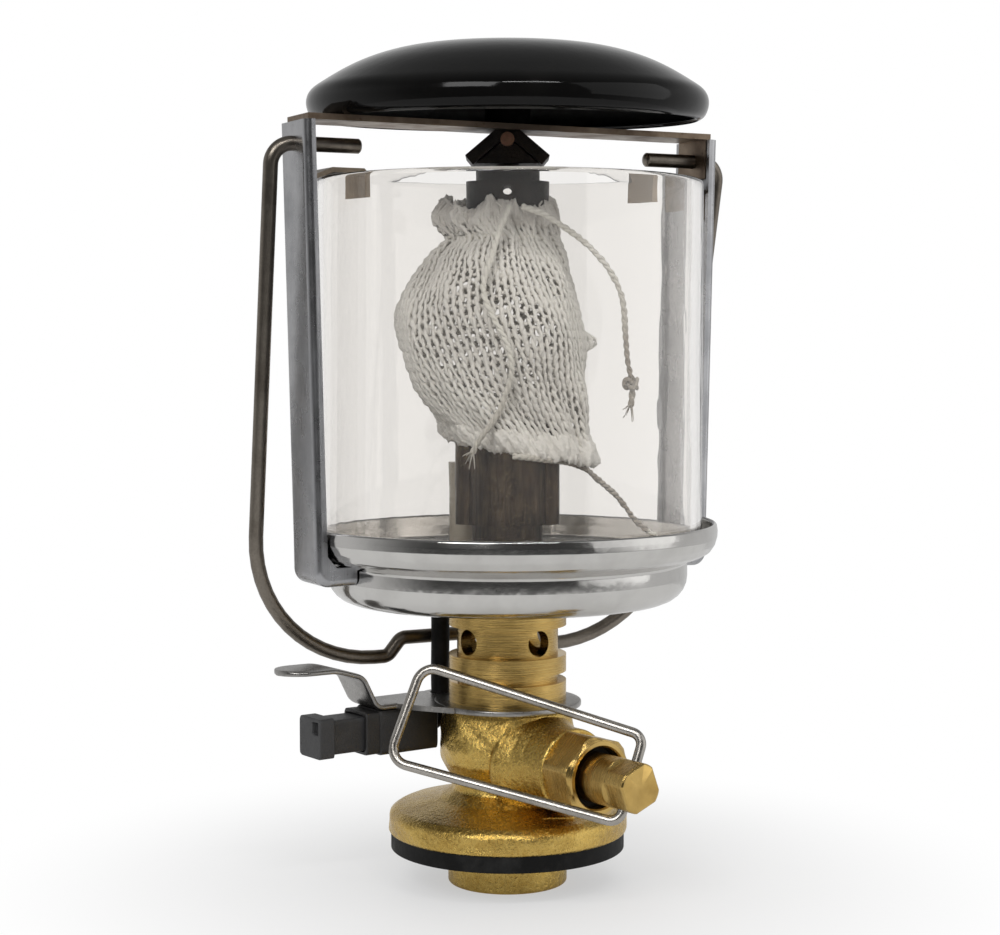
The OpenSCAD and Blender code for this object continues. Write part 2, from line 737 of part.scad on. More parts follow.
module pan_lock_nut() {
    color("silver") translate([0, 0, floor_z]) difference() {
        cylinder(d = lock_nut_af / cos(30), h = lock_nut_h, $fn = 6);
        translate([0, 0, -cut]) cylinder(d = nipple_d + 2 * fit, h = lock_nut_h + 2 * cut);
    }
}

// Channel on the +X side: web and foot as one bent sheet, with an inward flange along each edge
module upright() {
    foot_len = foot_x - pan_d / 2 + 2;
    back = arc([-foot_curl, foot_curl], foot_curl, -90, 0);
    web = concat([[-foot_len, 0]], back, [[0, upright_len]]);
    flange = concat(
        [[-foot_len, 0]], back,
        [[0, upright_len], [-upright_depth, upright_len], [-upright_depth, foot_h + 1.6],
        [-upright_depth - 1.6, foot_h - foot_gap], [-foot_len, foot_h - foot_gap]]
    );
    difference() {
        at_foot() union() {
            across(upright_w) polygon(sheet(web, upright_t));
            for (s = [-1, 1])
                translate([0, s * (upright_w - upright_t) / 2, 0]) across(upright_t) polygon(flange);
        }
        translate([0, 0, foot_z - foot_h]) cylinder(d = pan_d + 2 * fit, h = 3 * foot_h);
        pivot_hole();
    }
}

module left_upright() { color("silver") mirror([1, 0, 0]) upright(); }
module right_upright() { color("silver") upright(); }

module glass_globe() {
    color("lightcyan") translate([0, 0, ledge_z]) difference() {
        cylinder(d = glass_d, h = glass_len);
        translate([0, 0, -cut]) cylinder(d = glass_d - 2 * glass_t, h = glass_len + 2 * cut);
    }
}

// Clip on the +X side: strip from the web over the glass edge, with a lip inside
module glass_clip() {
    over = glass_top + 0.1;
    web_x = web_face(over - clip_tail) - clip_t;
    path = [
        [web_x, over - clip_tail], [web_x, over - 1.4], [glass_d / 2 + 0.6, over],
        [clip_lip_x + 1, over], [clip_lip_x, over - 1], [clip_lip_x, over - clip_lip]
    ];
    flipped = [for (i = [len(path) - 1 : -1 : 0]) path[i]];
    across(clip_w) polygon(sheet(flipped, clip_t));
}

module left_glass_clip() { color("silver") mirror([1, 0, 0]) glass_clip(); }
module right_glass_clip() { color("silver") glass_clip(); }

// Strap: one bent sheet whose turned-down ends follow the channels' webs
function web_face(z) = foot_x + (z - foot_z) * tan(upright_lean) - upright_t / cos(upright_lean) - web_gap;
module bridge_strap() {
    low = strap_z - strap_tab;
    low_x = web_face(low);
    top_x = web_face(strap_top);
    path = [[low_x, low], [top_x, strap_top], [-top_x, strap_top], [-low_x, low]];
    color("gainsboro") difference() {
        across(strap_w) polygon(sheet(path, strap_t));
        for (s = [0, 1]) mirror([s, 0, 0]) pivot_hole();
        translate([0, 0, strap_z - cut]) cylinder(d = post_d / 2 + 2 * fit, h = strap_t + 2 * cut);
    }
}

module lid_post() {
    color("silver") union() {
        translate([0, 0, strap_z]) cylinder(d = post_d / 2, h = strap_t + cut);
        translate([0, 0, strap_top]) cylinder(d = post_d, h = lid_under - strap_top - 0.02);
    }
}

// Lid: an upright side and a dome whose drop grows as a power of the radius
module lid() {
    fullness = 3.2;
    steps = 14;
    dome = [for (i = [0 : steps]) let (r = lid_r * cos(90 * i / steps))
        [r, lid_side + lid_dome * (1 - pow(r / lid_r, fullness))]];
    color("black") translate([0, 0, lid_z]) rotate_extrude()
        polygon([for (p = sheet(concat([[lid_r, 0]], dome), lid_t)) [max(p[0], 0), p[1]]]);
}

module along_ridge() { rotate([0, 0, deflector_turn]) translate([0, 0, ridge_pin_z]) children(); }
module ridge_pin(d, h) { along_ridge() translate([-h / 2, 0, 0]) rotate([0, 90, 0]) cylinder(d = d, h = h); }

module heat_deflector() {
    half = deflector_w / 2;
    flat = ridge_flat / 2;
    path = [[half, ridge_z - leg_drop], [flat, ridge_z], [-flat, ridge_z], [-half, ridge_z - leg_drop]];
    color("saddlebrown") difference() {
        rotate([0, 0, deflector_turn + 90]) across(deflector_len) polygon(sheet(path, deflector_t));
        ridge_pin(ridge_pin_d + 2 * fit, deflector_len + 2 * cut);
    }
}

module deflector_pin() {
    color("peru") ridge_pin(ridge_pin_d, deflector_len + 0.6);
}

module mantle_holder() {
    neck_z = holder_z + holder_collar;
    flange_top = neck_z + holder_neck + holder_flange;
    stem_top = ridge_pin_z - ridge_pin_d / 2 - fit;
    hole_z = holder_z + holder_collar - 1.6;
    color("saddlebrown") difference() {
        union() {
            translate([0, 0, holder_z]) cylinder(d = holder_d, h = holder_collar);
            translate([0, 0, neck_z]) cylinder(d = holder_neck_d, h = holder_neck);
            translate([0, 0, neck_z + holder_neck]) cylinder(d = holder_d, h = holder_flange);
            translate([0, 0, flange_top]) cylinder(d = holder_stem_d, h = stem_top - flange_top);
        }
        translate([0, 0, holder_z - cut]) cylinder(d = holder_neck_d - 1, h = holder_collar - 0.8 + cut);
        translate([0, 0, hole_z]) rotate([0, 90, deflector_turn])
            translate([0, 0, -holder_d]) cylinder(d = holder_hole_d, h = 2 * holder_d);
    }
}

// Mantle: a soft bag lofted through round stations, with an inner wall that closes in on its two holders
module mantle() {
    n = len(mantle_stations);
    grip_top = holder_d / 2 + 0.3;
    grip_low = sleeve_w / 2 + 0.3;
    outer = [for (s = mantle_stations) each mantle_ring(s, s[2], s[1])];
    inner = [for (i = [n - 1 : -1 : 0]) let (s = mantle_stations[i])
        each i == 0 ? mantle_ring(s, grip_top, 0)
        : i == n - 1 ? mantle_ring(s, grip_low, 0)
        : mantle_ring(s, s[2] - mantle_wall, s[1])];
    rings = 2 * n;
    m = mantle_sides;
    last = (rings - 1) * m;
    closing = [for (k = [0 : m - 1]) let (next = (k + 1) % m)
        each [[last + k, last + next, k], [last + next, next, k]]];
    color("wheat") polyhedron(concat(outer, inner), concat(side_faces(rings, m), closing));
}
function mantle_ring(s, r, shift) = [
    for (k = [0 : mantle_sides - 1]) let (a = 360 * k / mantle_sides)
    [shift * cos(view_turn) + r * cos(a), shift * sin(view_turn) + r * sin(a), mantle_top - mantle_len * s[0]]
];

module top_tie_tail_a() { color("wheat") swept_tube(tie_a_route, tie_d, [0, 1, 0]); }
module top_tie_tail_b() { color("wheat") swept_tube(tie_b_route, tie_d, [0, 1, 0]); }
module bottom_tie_tail() { color("wheat") swept_tube(tie_c_route, tie_d, [0, 1, 0]); }

module bail() {
    foot = -bail_reach;
    mid = bail_offset - bail_reach;
    pin_end = bail_leg_x - bail_elbow;
    half = [
        [pin_end - pin_lap, 0], [bail_leg_x, 0], [bail_leg_x - bail_toe, foot], [jog_out, foot], [jog_in, mid]
    ];
    radii = [bail_elbow, bail_corner, jog_r, jog_r];
    other = [for (i = [len(half) - 1 : -1 : 0]) [-half[i][0], half[i][1]]];
    back = [for (i = [len(radii) - 1 : -1 : 0]) radii[i]];
    color("dimgray") translate([0, 0, pivot_z]) union() {
        rotate([90 + bail_lean, 0, 0]) bent_wire(concat(half, other), concat(radii, back), bail_wire);
        for (s = [0, 1]) mirror([s, 0, 0]) rod(bail_pin_in, bail_wire, pin_end - bail_pin_in);
    }
}

valve_body();
seal_washer();
inlet_seal();
depressor_pin();
inlet_filter();
gland_nut();
gland_packing();
valve_spindle();
valve_handle();
igniter_bracket();
igniter_body();
igniter_crystal();
igniter_hammer();
hammer_spring();
igniter_button();
ignition_lead();
electrode_insulator();
electrode_wire();
mixing_tube();
jet();
burner_tube();
burner_gauze();
burner_sleeve();
base_pan();
pan_lock_nut();
left_upright();
right_upright();
glass_globe();
left_glass_clip();
right_glass_clip();
bridge_strap();
lid_post();
lid();
heat_deflector();
deflector_pin();
mantle_holder();
mantle();
top_tie_tail_a();
top_tie_tail_b();
bottom_tie_tail();
bail();
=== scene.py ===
"""Butane lantern: finishes, bent wires, glass, lathed shells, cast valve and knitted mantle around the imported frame.

Points are worked out in millimetres on the lantern's own axes and written to the meshes in metres.
"""
import math

import bmesh
import bpy
import numpy as np
from mathutils import Matrix


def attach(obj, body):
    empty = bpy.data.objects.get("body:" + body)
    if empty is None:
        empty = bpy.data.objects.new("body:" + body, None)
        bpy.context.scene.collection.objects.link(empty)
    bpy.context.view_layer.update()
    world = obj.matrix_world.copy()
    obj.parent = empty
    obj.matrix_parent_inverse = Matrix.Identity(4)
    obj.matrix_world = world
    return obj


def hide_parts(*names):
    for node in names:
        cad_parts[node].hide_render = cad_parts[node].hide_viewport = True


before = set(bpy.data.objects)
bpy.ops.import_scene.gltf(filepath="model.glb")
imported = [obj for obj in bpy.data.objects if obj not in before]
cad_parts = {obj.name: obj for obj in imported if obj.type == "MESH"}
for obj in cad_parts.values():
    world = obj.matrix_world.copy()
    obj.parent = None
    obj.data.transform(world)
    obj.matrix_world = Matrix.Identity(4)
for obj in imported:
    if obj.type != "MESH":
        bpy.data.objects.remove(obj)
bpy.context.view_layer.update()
scene = bpy.context.scene
scene.view_settings.view_transform = "Standard"
TAU = 2 * math.pi
Z = np.array([0.0, 0.0, 1.0])


def heading(degrees):
    """Level unit vector at an angle from the X axis."""
    return np.array([math.cos(math.radians(degrees)), math.sin(math.radians(degrees)), 0.0])


# Across the view to the right, and towards the camera
VIEW = -28
ACROSS, NEAR = heading(VIEW), heading(VIEW - 90)

# Along the tap and across it, and the height of its axis
TAP_TURN, TAP_HIGH = -81, 22.6
TAP, TAP_SIDE = heading(TAP_TURN), heading(TAP_TURN + 90)

# Out along the igniter and square to it, its place beside the lantern's axis, and its height
IGNITER_TURN, IGNITER_OFF, IGNITER_HIGH = 8, 11.9, 27.4
OUTWARD, BESIDE = heading(IGNITER_TURN - 180), heading(IGNITER_TURN + 90)


# Lines and grids

def unit(v):
    """Each vector divided by its own length."""
    return v / np.maximum(np.linalg.norm(v, axis=-1, keepdims=True), 1e-12)


def spline(points, count):
    """Natural cubic through the points over their chord length, read at equal steps of that length."""
    p = np.asarray(points, float)
    h = np.linalg.norm(np.diff(p, axis=0), axis=1)
    s = np.concatenate([[0.0], np.cumsum(h)])
    n = len(p)
    slope = np.diff(p, axis=0) / h[:, None]
    left = np.eye(n)
    inner = np.arange(1, n - 1)
    left[inner, inner - 1] = h[:-1]
    left[inner, inner] = 2 * (h[:-1] + h[1:])
    left[inner, inner + 1] = h[1:]
    right = np.zeros_like(p)
    right[1:-1] = 6 * np.diff(slope, axis=0)
    m = np.linalg.solve(left, right)
    t = np.linspace(0, s[-1], count)
    i = np.clip(np.searchsorted(s, t, side="right") - 1, 0, n - 2)
    b, w = (t - s[i])[:, None], h[i][:, None]
    a = w - b
    bent = (m[i] * a**3 + m[i + 1] * b**3) / (6 * w)
    return bent + (p[i] / w - m[i] * w / 6) * a + (p[i + 1] / w - m[i + 1] * w / 6) * b


def rounded(points, radii, steps):
    """Polyline whose inner corners become arcs: each arc touches both sides and turns from one to the other."""
    p = np.asarray(points, float)
    out = [p[:1]]
    for q, before, after, r in zip(p[1:-1], p[:-2], p[2:], np.broadcast_to(radii, len(p) - 2)):
        a, b = unit(q - before), unit(after - q)
        turn = math.acos(float(np.clip(a @ b, -1, 1)))
        if r <= 0 or turn < 1e-4:
            out.append(q[None])
            continue
        start = q - a * r * math.tan(turn / 2)
        centre = q + unit(b - a) * r / math.cos(turn / 2)
        f = np.linspace(0, turn, steps + 1)[:, None]
        out.append(centre + np.cos(f) * (start - centre) + np.sin(f) * r * a)
    return np.concatenate(out + [p[-1:]])


def spread(line, step):
    """The same line with points set in so that none are further apart than step."""
    h = np.linalg.norm(np.diff(line, axis=0), axis=1)
    s = np.concatenate([[0.0], np.cumsum(h)])
    t = np.unique(np.round(np.concatenate([s, np.arange(0, s[-1], step)]), 4))
    return np.stack([np.interp(t, s, line[:, k]) for k in range(line.shape[1])], -1)


def turns(count):
    """Equal steps of angle round a circle."""
    return np.arange(count) * TAU / count


def way_round(line, axis=0):
    """Direction along a closed line at each of its points."""
    return unit(np.roll(line, -1, axis) - np.roll(line, 1, axis))


def around(line, way, ref, radius, sides):
    """Ring of points about each point of a line, square to its way; ref sets where the ring starts."""
    side = unit(np.cross(way, ref))
    up = np.cross(side, way)
    a = turns(sides)[:, None]
    ring = np.cos(a) * side[..., None, :] + np.sin(a) * up[..., None, :]
    return line[..., None, :] + np.asarray(radius)[..., None, None] * ring


def tube(route, radius, ref, sides, end=1.0):
    """Round section carried along a route, closed by a rounded end of its own radius times end."""
    p = np.asarray(route, float)
    r = np.broadcast_to(np.asarray(radius, float), len(p))
    t = unit(np.gradient(p, axis=0))
    k = np.radians([90, 62, 32])
    first = p[0] - t[0] * (end * r[0] * np.sin(k))[:, None]
    last = p[-1] + t[-1] * (end * r[-1] * np.sin(k[::-1]))[:, None]
    r = np.concatenate([r[0] * np.cos(k), r, r[-1] * np.cos(k[::-1])])
    t = np.concatenate([np.repeat(t[:1], 3, 0), t, np.repeat(t[-1:], 3, 0)])
    return around(np.concatenate([first, p, last]), t, ref, r, sides)


def swept(r, z, a):
    """Points at radius r and height z over the angles a."""
    return np.stack([r * np.cos(a), r * np.sin(a), z + 0 * a], -1)


def lathe(profile, sides):
    """Profile of radius and height points turned round the lantern's axis."""
    q = np.asarray(profile, float)
    return swept(q[:, :1], q[:, 1:], turns(sides))


def placed(grid, origin, x, y, z):
    """Grid of local points carried to an origin and three axis directions."""
    return origin + grid[..., :1] * x + grid[..., 1:2] * y + grid[..., 2:] * z


def waves(x, y, *terms):
    """Sum of sines of two arrays, each term an amplitude, a phase and the two rates."""
    return sum(size * np.sin(phase + (p * x + q * y)) for size, phase, p, q in terms)


def squared(v, power):
    """Sine or cosine bent towards the outline of a square: the higher the power, the tighter its corners."""
    return np.sign(v) * np.abs(v) ** (2 / power)


# Meshes

def piece(name, grids, finish, body="lantern", nodes=(), sharp=35, age=None):
    """Mesh from grids: quads join neighbours, and the columns close to rings. A grid given as (points, ring, loop)
    says for itself whether its columns and its rows close. Age is one value, or one for each point."""
    points, faces, corners, start = [], [], [], 0
    for entry in grids:
        grid, ring, loop = entry if isinstance(entry, tuple) else (entry, True, False)
        rows, cols = grid.shape[:2]
        i, j = np.meshgrid(np.arange(rows if loop else rows - 1), np.arange(cols if ring else cols - 1), indexing="ij")
        i, j = i.ravel(), j.ravel()
        i2, j2 = (i + 1) % rows, (j + 1) % cols
        faces.append(start + np.stack([i * cols + j, i * cols + j2, i2 * cols + j2, i2 * cols + j], -1))
        u, v = np.stack([j, j + 1, j + 1, j], -1) / cols, np.stack([i, i, i + 1, i + 1], -1) / rows
        corners.append(np.stack([u, v], -1))
        points.append(grid.reshape(-1, 3))
        start += rows * cols
    points, faces, corners = np.concatenate(points) / 1000, np.concatenate(faces), np.concatenate(corners)
    mesh = bpy.data.meshes.new(name)
    mesh.vertices.add(len(points))
    mesh.vertices.foreach_set("co", points.ravel())
    mesh.loops.add(faces.size)
    mesh.loops.foreach_set("vertex_index", faces.ravel())
    mesh.polygons.add(len(faces))
    mesh.polygons.foreach_set("loop_start", np.arange(len(faces)) * 4)
    mesh.update(calc_edges=True)
    mesh.uv_layers.new(name="along").data.foreach_set("uv", corners.ravel())
    if age is not None:
        ages = np.broadcast_to(np.ravel(age), len(points)).astype(float)
        mesh.attributes.new("age", "FLOAT", "POINT").data.foreach_set("value", ages)
    work = bmesh.new()
    work.from_mesh(mesh)
    bmesh.ops.remove_doubles(work, verts=work.verts, dist=1e-7)
    bmesh.ops.recalc_face_normals(work, faces=work.faces)
    work.to_mesh(mesh)
    work.free()
    mesh.polygons.foreach_set("use_smooth", np.ones(len(mesh.polygons), bool))
    mesh.set_sharp_from_angle(angle=math.radians(sharp))
    obj = bpy.data.objects.new(name, mesh)
    scene.collection.objects.link(obj)
    mesh.materials.append(finish)
    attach(obj, body)
    if nodes:
        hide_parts(*nodes)
    return obj


# Shader groups

def add(tree, kind, values=None, **settings):
    """One shader node with its settings, its plain values and its links."""
    node = tree.nodes.new("ShaderNode" + kind)
    for key, value in settings.items():
        setattr(node, key, value)
    for key, value in (values or {}).items():
        if isinstance(value, bpy.types.NodeSocket):
            tree.links.new(value, node.inputs[key])
        else:
            node.inputs[key].default_value = value
    return node


def ranged(tree, value, start, stop, low=0.0, high=1.0, how="LINEAR"):
    """Number that goes from low to high, and no further, as a value goes from start to stop."""
    ends = {"Value": value, "From Min": start, "From Max": stop, "To Min": low, "To Max": high}
    return add(tree, "MapRange", ends, interpolation_type=how).outputs[0]


def group(name, **inputs):
    """Empty shader group with named inputs, v for a vector and f for a number, and one output, Mask."""
    tree = bpy.data.node_groups.new(name, "ShaderNodeTree")
    kinds = {"v": "NodeSocketVector", "f": "NodeSocketFloat"}
    for key, kind in inputs.items():
        tree.interface.new_socket(name=key, in_out="INPUT", socket_type=kinds[kind])
    tree.interface.new_socket(name="Mask", in_out="OUTPUT", socket_type=kinds["f"])
    return tree, tree.nodes.new("NodeGroupInput").outputs, tree.nodes.new("NodeGroupOutput").inputs["Mask"]


def cloud_group():
    """Cloudy mask: layered noise stretched so that Low becomes 0 and High becomes 1."""
    tree, given, mask = group("clouds", Vector="v", Scale="f", Detail="f", Low="f", High="f")
    shared = {key: given[key] for key in ("Vector", "Scale", "Detail")}
    noise = add(tree, "TexNoise", {**shared, "Roughness": 0.6})
    tree.links.new(ranged(tree, noise.outputs[0], given["Low"], given["High"]), mask)
    return tree


def pit_group():
    """Scattered pits: distance to random cell points, dark inside Size and only where a cloud allows them."""
    tree, given, mask = group("pits", Vector="v", Scale="f", Size="f", Cover="f")
    cells = add(tree, "TexVoronoi", {"Vector": given["Vector"], "Scale": given["Scale"]})
    spot = ranged(tree, cells.outputs["Distance"], given["Size"], 0.0)
    cloud = add(tree, "TexNoise", {"Vector": given["Vector"], "Scale": 180.0, "Detail": 3.0})
    where = add(tree, "Math", {0: cloud.outputs[0], 1: given["Cover"]}, operation="LESS_THAN")
    both = add(tree, "Math", {0: spot, 1: where.outputs[0]}, operation="MULTIPLY")
    tree.links.new(both.outputs[0], mask)
    return tree


def line_group():
    """Tool lines: noise squeezed along one direction by Stretch, as left by turning, drawing or rolling."""
    tree, given, mask = group("tool_lines", Vector="v", Stretch="v", Low="f", High="f")
    squeezed = add(tree, "VectorMath", {0: given["Vector"], 1: given["Stretch"]}, operation="MULTIPLY")
    noise = add(tree, "TexNoise", {"Vector": squeezed.outputs[0], "Scale": 1.0, "Detail": 4.0, "Roughness": 0.65})
    tree.links.new(ranged(tree, noise.outputs[0], given["Low"], given["High"]), mask)
    return tree


CLOUDS, PITS, LINES = cloud_group(), pit_group(), line_group()


class Finish:
    """One material being made: its tree, its shader and the object coordinates that patterns follow."""

    def __init__(self, name, metallic=0.0, **sockets):
        self.material = bpy.data.materials.new(name)
        self.material.use_nodes = True
        self.tree = self.material.node_tree
        self.shader = self.tree.nodes["Principled BSDF"]
        self.shader.inputs["Metallic"].default_value = metallic
        for key, value in sockets.items():
            self.shader.inputs[key.replace("_", " ")].default_value = value
        self.where = add(self.tree, "TexCoord").outputs["Object"]

    def turned(self, degrees, at):
        """Object coordinates about a point, turned about the upright axis."""
        moved = add(self.tree, "VectorMath", {0: self.where, 1: tuple(c / 1000 for c in at)}, operation="SUBTRACT")
        turn = (0, 0, math.radians(degrees))
        return add(self.tree, "Mapping", {"Vector": moved.outputs[0], "Rotation": turn}).outputs[0]

    def masked(self, tree, vector=None, **values):
        """Mask of a shader group on the object coordinates, or on a vector of its own."""
        return add(self.tree, "Group", {"Vector": vector or self.where, **values}, node_tree=tree).outputs[0]

    def clouds(self, scale, low=0.35, high=0.65, detail=4.0):
        return self.masked(CLOUDS, Scale=scale, Detail=detail, Low=low, High=high)

    def pits(self, scale, size, cover):
        return self.masked(PITS, Scale=scale, Size=size, Cover=cover)

    def lines(self, stretch, low=0.35, high=0.65, vector=None):
        return self.masked(LINES, vector, Stretch=stretch, Low=low, High=high)

    def mix(self, mask, a, b):
        """Colour a where the mask is 0, colour b where it is 1."""
        four = [c if isinstance(c, bpy.types.NodeSocket) else (*c, 1.0) for c in (a, b)]
        return add(self.tree, "Mix", {0: mask, 6: four[0], 7: four[1]}, data_type="RGBA", clamp_factor=True).outputs[2]

    def level(self, mask, low, high):
        """Number from low to high as the mask goes from 0 to 1."""
        return ranged(self.tree, mask, 0.0, 1.0, low, high)

    def times(self, a, b, how="MULTIPLY"):
        return add(self.tree, "Math", {0: a, 1: b}, operation=how).outputs[0]

    def set(self, **links):
        """Links to the shader's sockets: Base_Color, Roughness, Normal."""
        for key, socket in links.items():
            self.tree.links.new(socket, self.shader.inputs[key.replace("_", " ")])

    def done(self, base, rough, normal):
        """The material, with its colour, roughness and surface normal linked."""
        self.set(Base_Color=base, Roughness=rough, Normal=normal)
        return self.material

    def blend(self, share, other):
        """Surface that goes from this shader to another node's by a share."""
        both = add(self.tree, "MixShader", {0: share, 1: self.shader.outputs[0], 2: other.outputs[0]})
        self.tree.links.new(both.outputs[0], self.tree.nodes["Material Output"].inputs["Surface"])

    def bump(self, height, depth, normal=None):
        """Surface normal from a height that is depth metres high."""
        values = {"Height": height, "Distance": depth, "Strength": 1.0}
        if normal:
            values["Normal"] = normal
        return add(self.tree, "Bump", values).outputs[0]


# Finishes

def cast_brass():
    """Sand-cast brass: sandy grain, dull brown patches beside brighter rubbed metal in clouds, and fine pale speckles
    that are partly grain and partly painted glints.
    """
    f = Finish("cast_brass", 1.0)
    patch = f.clouds(150, 0.36, 0.66)
    fine = f.clouds(1500, 0.3, 0.7, 5)
    base = f.mix(patch, (0.44, 0.275, 0.06), (0.62, 0.42, 0.11))
    # Fine pale speckles: partly the casting's grain, partly painted glints.
    base = f.mix(f.level(fine, 0.0, 0.4), base, (0.84, 0.62, 0.21))
    base = f.mix(f.level(f.pits(1300, 0.36, 0.56), 0.0, 0.35), base, (0.16, 0.10, 0.03))
    grain = f.bump(fine, 0.00008)
    return f.done(base, f.level(fine, 0.17, 0.34), f.bump(patch, 0.00008, grain))


def turned_brass(name="turned_brass", stretch=(40, 40, 9000), **turn):
    """Lathe-turned brass: fine rings across the axis, paler where rubbed, a little tarnish."""
    f = Finish(name, 1.0)
    way = f.turned(**turn) if turn else f.where
    rings = f.lines(stretch, vector=way)
    tarnish = f.clouds(170, 0.4, 0.72)
    base = f.mix(tarnish, (0.60, 0.40, 0.125), (0.38, 0.24, 0.065))
    base = f.mix(f.level(rings, 0.0, 0.3), base, (0.74, 0.56, 0.24))
    return f.done(base, f.level(rings, 0.14, 0.3), f.bump(rings, 0.00002))


def mottled(name, stain, clean, stained, rough, grain, depth, metallic=0.0, **sockets):
    """Plain surface: one cloud takes its colour and roughness from clean to stained, and another gives it a grain."""
    f = Finish(name, metallic, **sockets)
    mask = f.clouds(*stain)
    return f.done(f.mix(mask, clean, stained), f.level(mask, *rough), f.bump(f.clouds(*grain), depth))


def rubber(name, colour):
    """Moulded rubber: dull, with dust in clouds and a faint grain."""
    dusty = tuple(c * 2.2 + 0.01 for c in colour)
    return mottled(name, (300, 0.45, 0.8), colour, dusty, (0.5, 0.75), (4000,), 0.00002, IOR=1.25)


def wire_steel(name, pale, dark, rough, pale_share=0.5):
    """Drawn wire: stains in long clouds, fine die lines and small handling marks."""
    f = Finish(name, 1.0)
    stain = f.clouds(120, 0.62 - 0.3 * pale_share, 0.85 - 0.25 * pale_share)
    marks = f.clouds(2200, 0.35, 0.7)
    base = f.mix(stain, pale, dark)
    base = f.mix(f.level(marks, 0.0, 0.2), base, tuple(0.6 * c for c in dark))
    return f.done(base, f.level(marks, rough, rough + 0.12), f.bump(marks, 0.000004))


def zinc_steel():
    """Zinc-plated strip: bluish grey with rolling lines, brown specks and dull patches."""
    f = Finish("zinc_steel", 1.0)
    patch = f.clouds(110, 0.38, 0.68)
    roll = f.lines((5200, 9500, 70))
    base = f.mix(patch, (0.42, 0.42, 0.43), (0.29, 0.294, 0.307))
    base = f.mix(f.level(roll, 0.0, 0.35), base, (0.52, 0.52, 0.53))
    base = f.mix(f.level(f.pits(700, 0.16, 0.47), 0.0, 0.55), base, (0.13, 0.10, 0.075))
    return f.done(base, f.level(patch, 0.2, 0.36), f.bump(roll, 0.000006))


def strap_steel():
    """Worn strap: browned, scuffed steel with dark specks, burnt darker in the middle, where the flame's heat rises."""
    f = Finish("strap_steel", 1.0)
    patch = f.clouds(160, 0.35, 0.65)
    base = f.mix(patch, (0.27, 0.21, 0.155), (0.17, 0.125, 0.09))
    base = f.mix(f.level(f.pits(900, 0.3, 0.5), 0.0, 0.8), base, (0.07, 0.042, 0.025))
    reach = add(f.tree, "VectorMath", {0: f.where, 1: (1.0, 1.0, 0.0)}, operation="MULTIPLY").outputs[0]
    far = add(f.tree, "VectorMath", {0: reach}, operation="LENGTH").outputs["Value"]
    ragged = f.times(far, f.level(patch, 0.8, 1.3))
    heat = ranged(f.tree, ragged, 0.014, 0.007)
    base = f.mix(f.level(heat, 0.0, 0.8), base, (0.06, 0.046, 0.036))
    return f.done(base, f.level(patch, 0.3, 0.5), f.bump(patch, 0.00005))


def chrome_plate():
    """Bright plating: mirror with a faint ripple from the pressing, thin haze and fine scratches."""
    f = Finish("chrome_plate", 1.0)
    haze = f.clouds(90, 0.42, 0.8)
    scratch = f.lines((1500, 1500, 9000), 0.55, 0.75)
    base = f.mix(haze, (0.60, 0.59, 0.57), (0.47, 0.46, 0.44))
    rough = f.times(f.level(haze, 0.13, 0.22), f.level(scratch, 0.0, 0.07), "ADD")
    return f.done(base, rough, f.bump(f.clouds(70), 0.00006))


def burnt_steel(name, dark, brown, blue):
    """Steel blackened by flame: soot, brown scale and blue-grey heat tint in clouds, dull and gritty."""
    f = Finish(name, 0.75)
    soot = f.clouds(160, 0.38, 0.64)
    tint = f.clouds(88, 0.46, 0.72)
    grit = f.clouds(2600, 0.35, 0.7)
    base = f.mix(tint, f.mix(soot, dark, brown), blue)
    base = f.mix(f.level(grit, 0.0, 0.3), base, tuple(0.4 * c for c in dark))
    return f.done(base, f.level(grit, 0.34, 0.62), f.bump(grit, 0.00005))


def tube_steel():
    """Burner tube: straw and brown heat colours streaked down from the flame, darker in patches."""
    f = Finish("tube_steel", 0.85)
    streak = f.lines((1500, 1500, 130), 0.36, 0.66)
    soot = f.clouds(220, 0.4, 0.68)
    base = f.mix(streak, (0.034, 0.023, 0.016), (0.092, 0.066, 0.042))
    base = f.mix(f.level(soot, 0.0, 0.75), base, (0.014, 0.0115, 0.010))
    base = f.mix(f.level(f.pits(1500, 0.36, 0.5), 0.0, 0.6), base, (0.19, 0.15, 0.08))
    return f.done(base, f.level(soot, 0.3, 0.5), f.bump(streak, 0.00004))


def clear_glass():
    """Clear globe glass, faintly wavy from drawing; shadow rays pass it so that what stands inside is lit."""
    tint = (0.90, 0.885, 0.865, 1.0)
    f = Finish("clear_glass", 0.0, Transmission_Weight=1.0, Roughness=0.0, IOR=1.47, Base_Color=tint)
    f.set(Normal=f.bump(f.lines((60, 60, 12), 0.2, 0.8), 0.00005))
    path = add(f.tree, "LightPath")
    through = add(f.tree, "BsdfTransparent", {"Color": (0.97, 0.97, 0.965, 1.0)})
    soft = f.times(path.outputs["Is Shadow Ray"], path.outputs["Is Diffuse Ray"], "MAXIMUM")
    f.blend(soft, through)
    return f.material


def plastic(name, colour, rough):
    """Moulded plastic: spark-eroded grain and paler scuffs."""
    f = Finish(name, 0.0)
    scuff = f.clouds(260, 0.5, 0.8)
    grain = f.clouds(3600, 0.3, 0.7)
    base = f.mix(f.level(scuff, 0.0, 0.6), colour, tuple(1.7 * c + 0.01 for c in colour))
    return f.done(base, f.level(grain, rough, rough + 0.18), f.bump(grain, 0.00003))


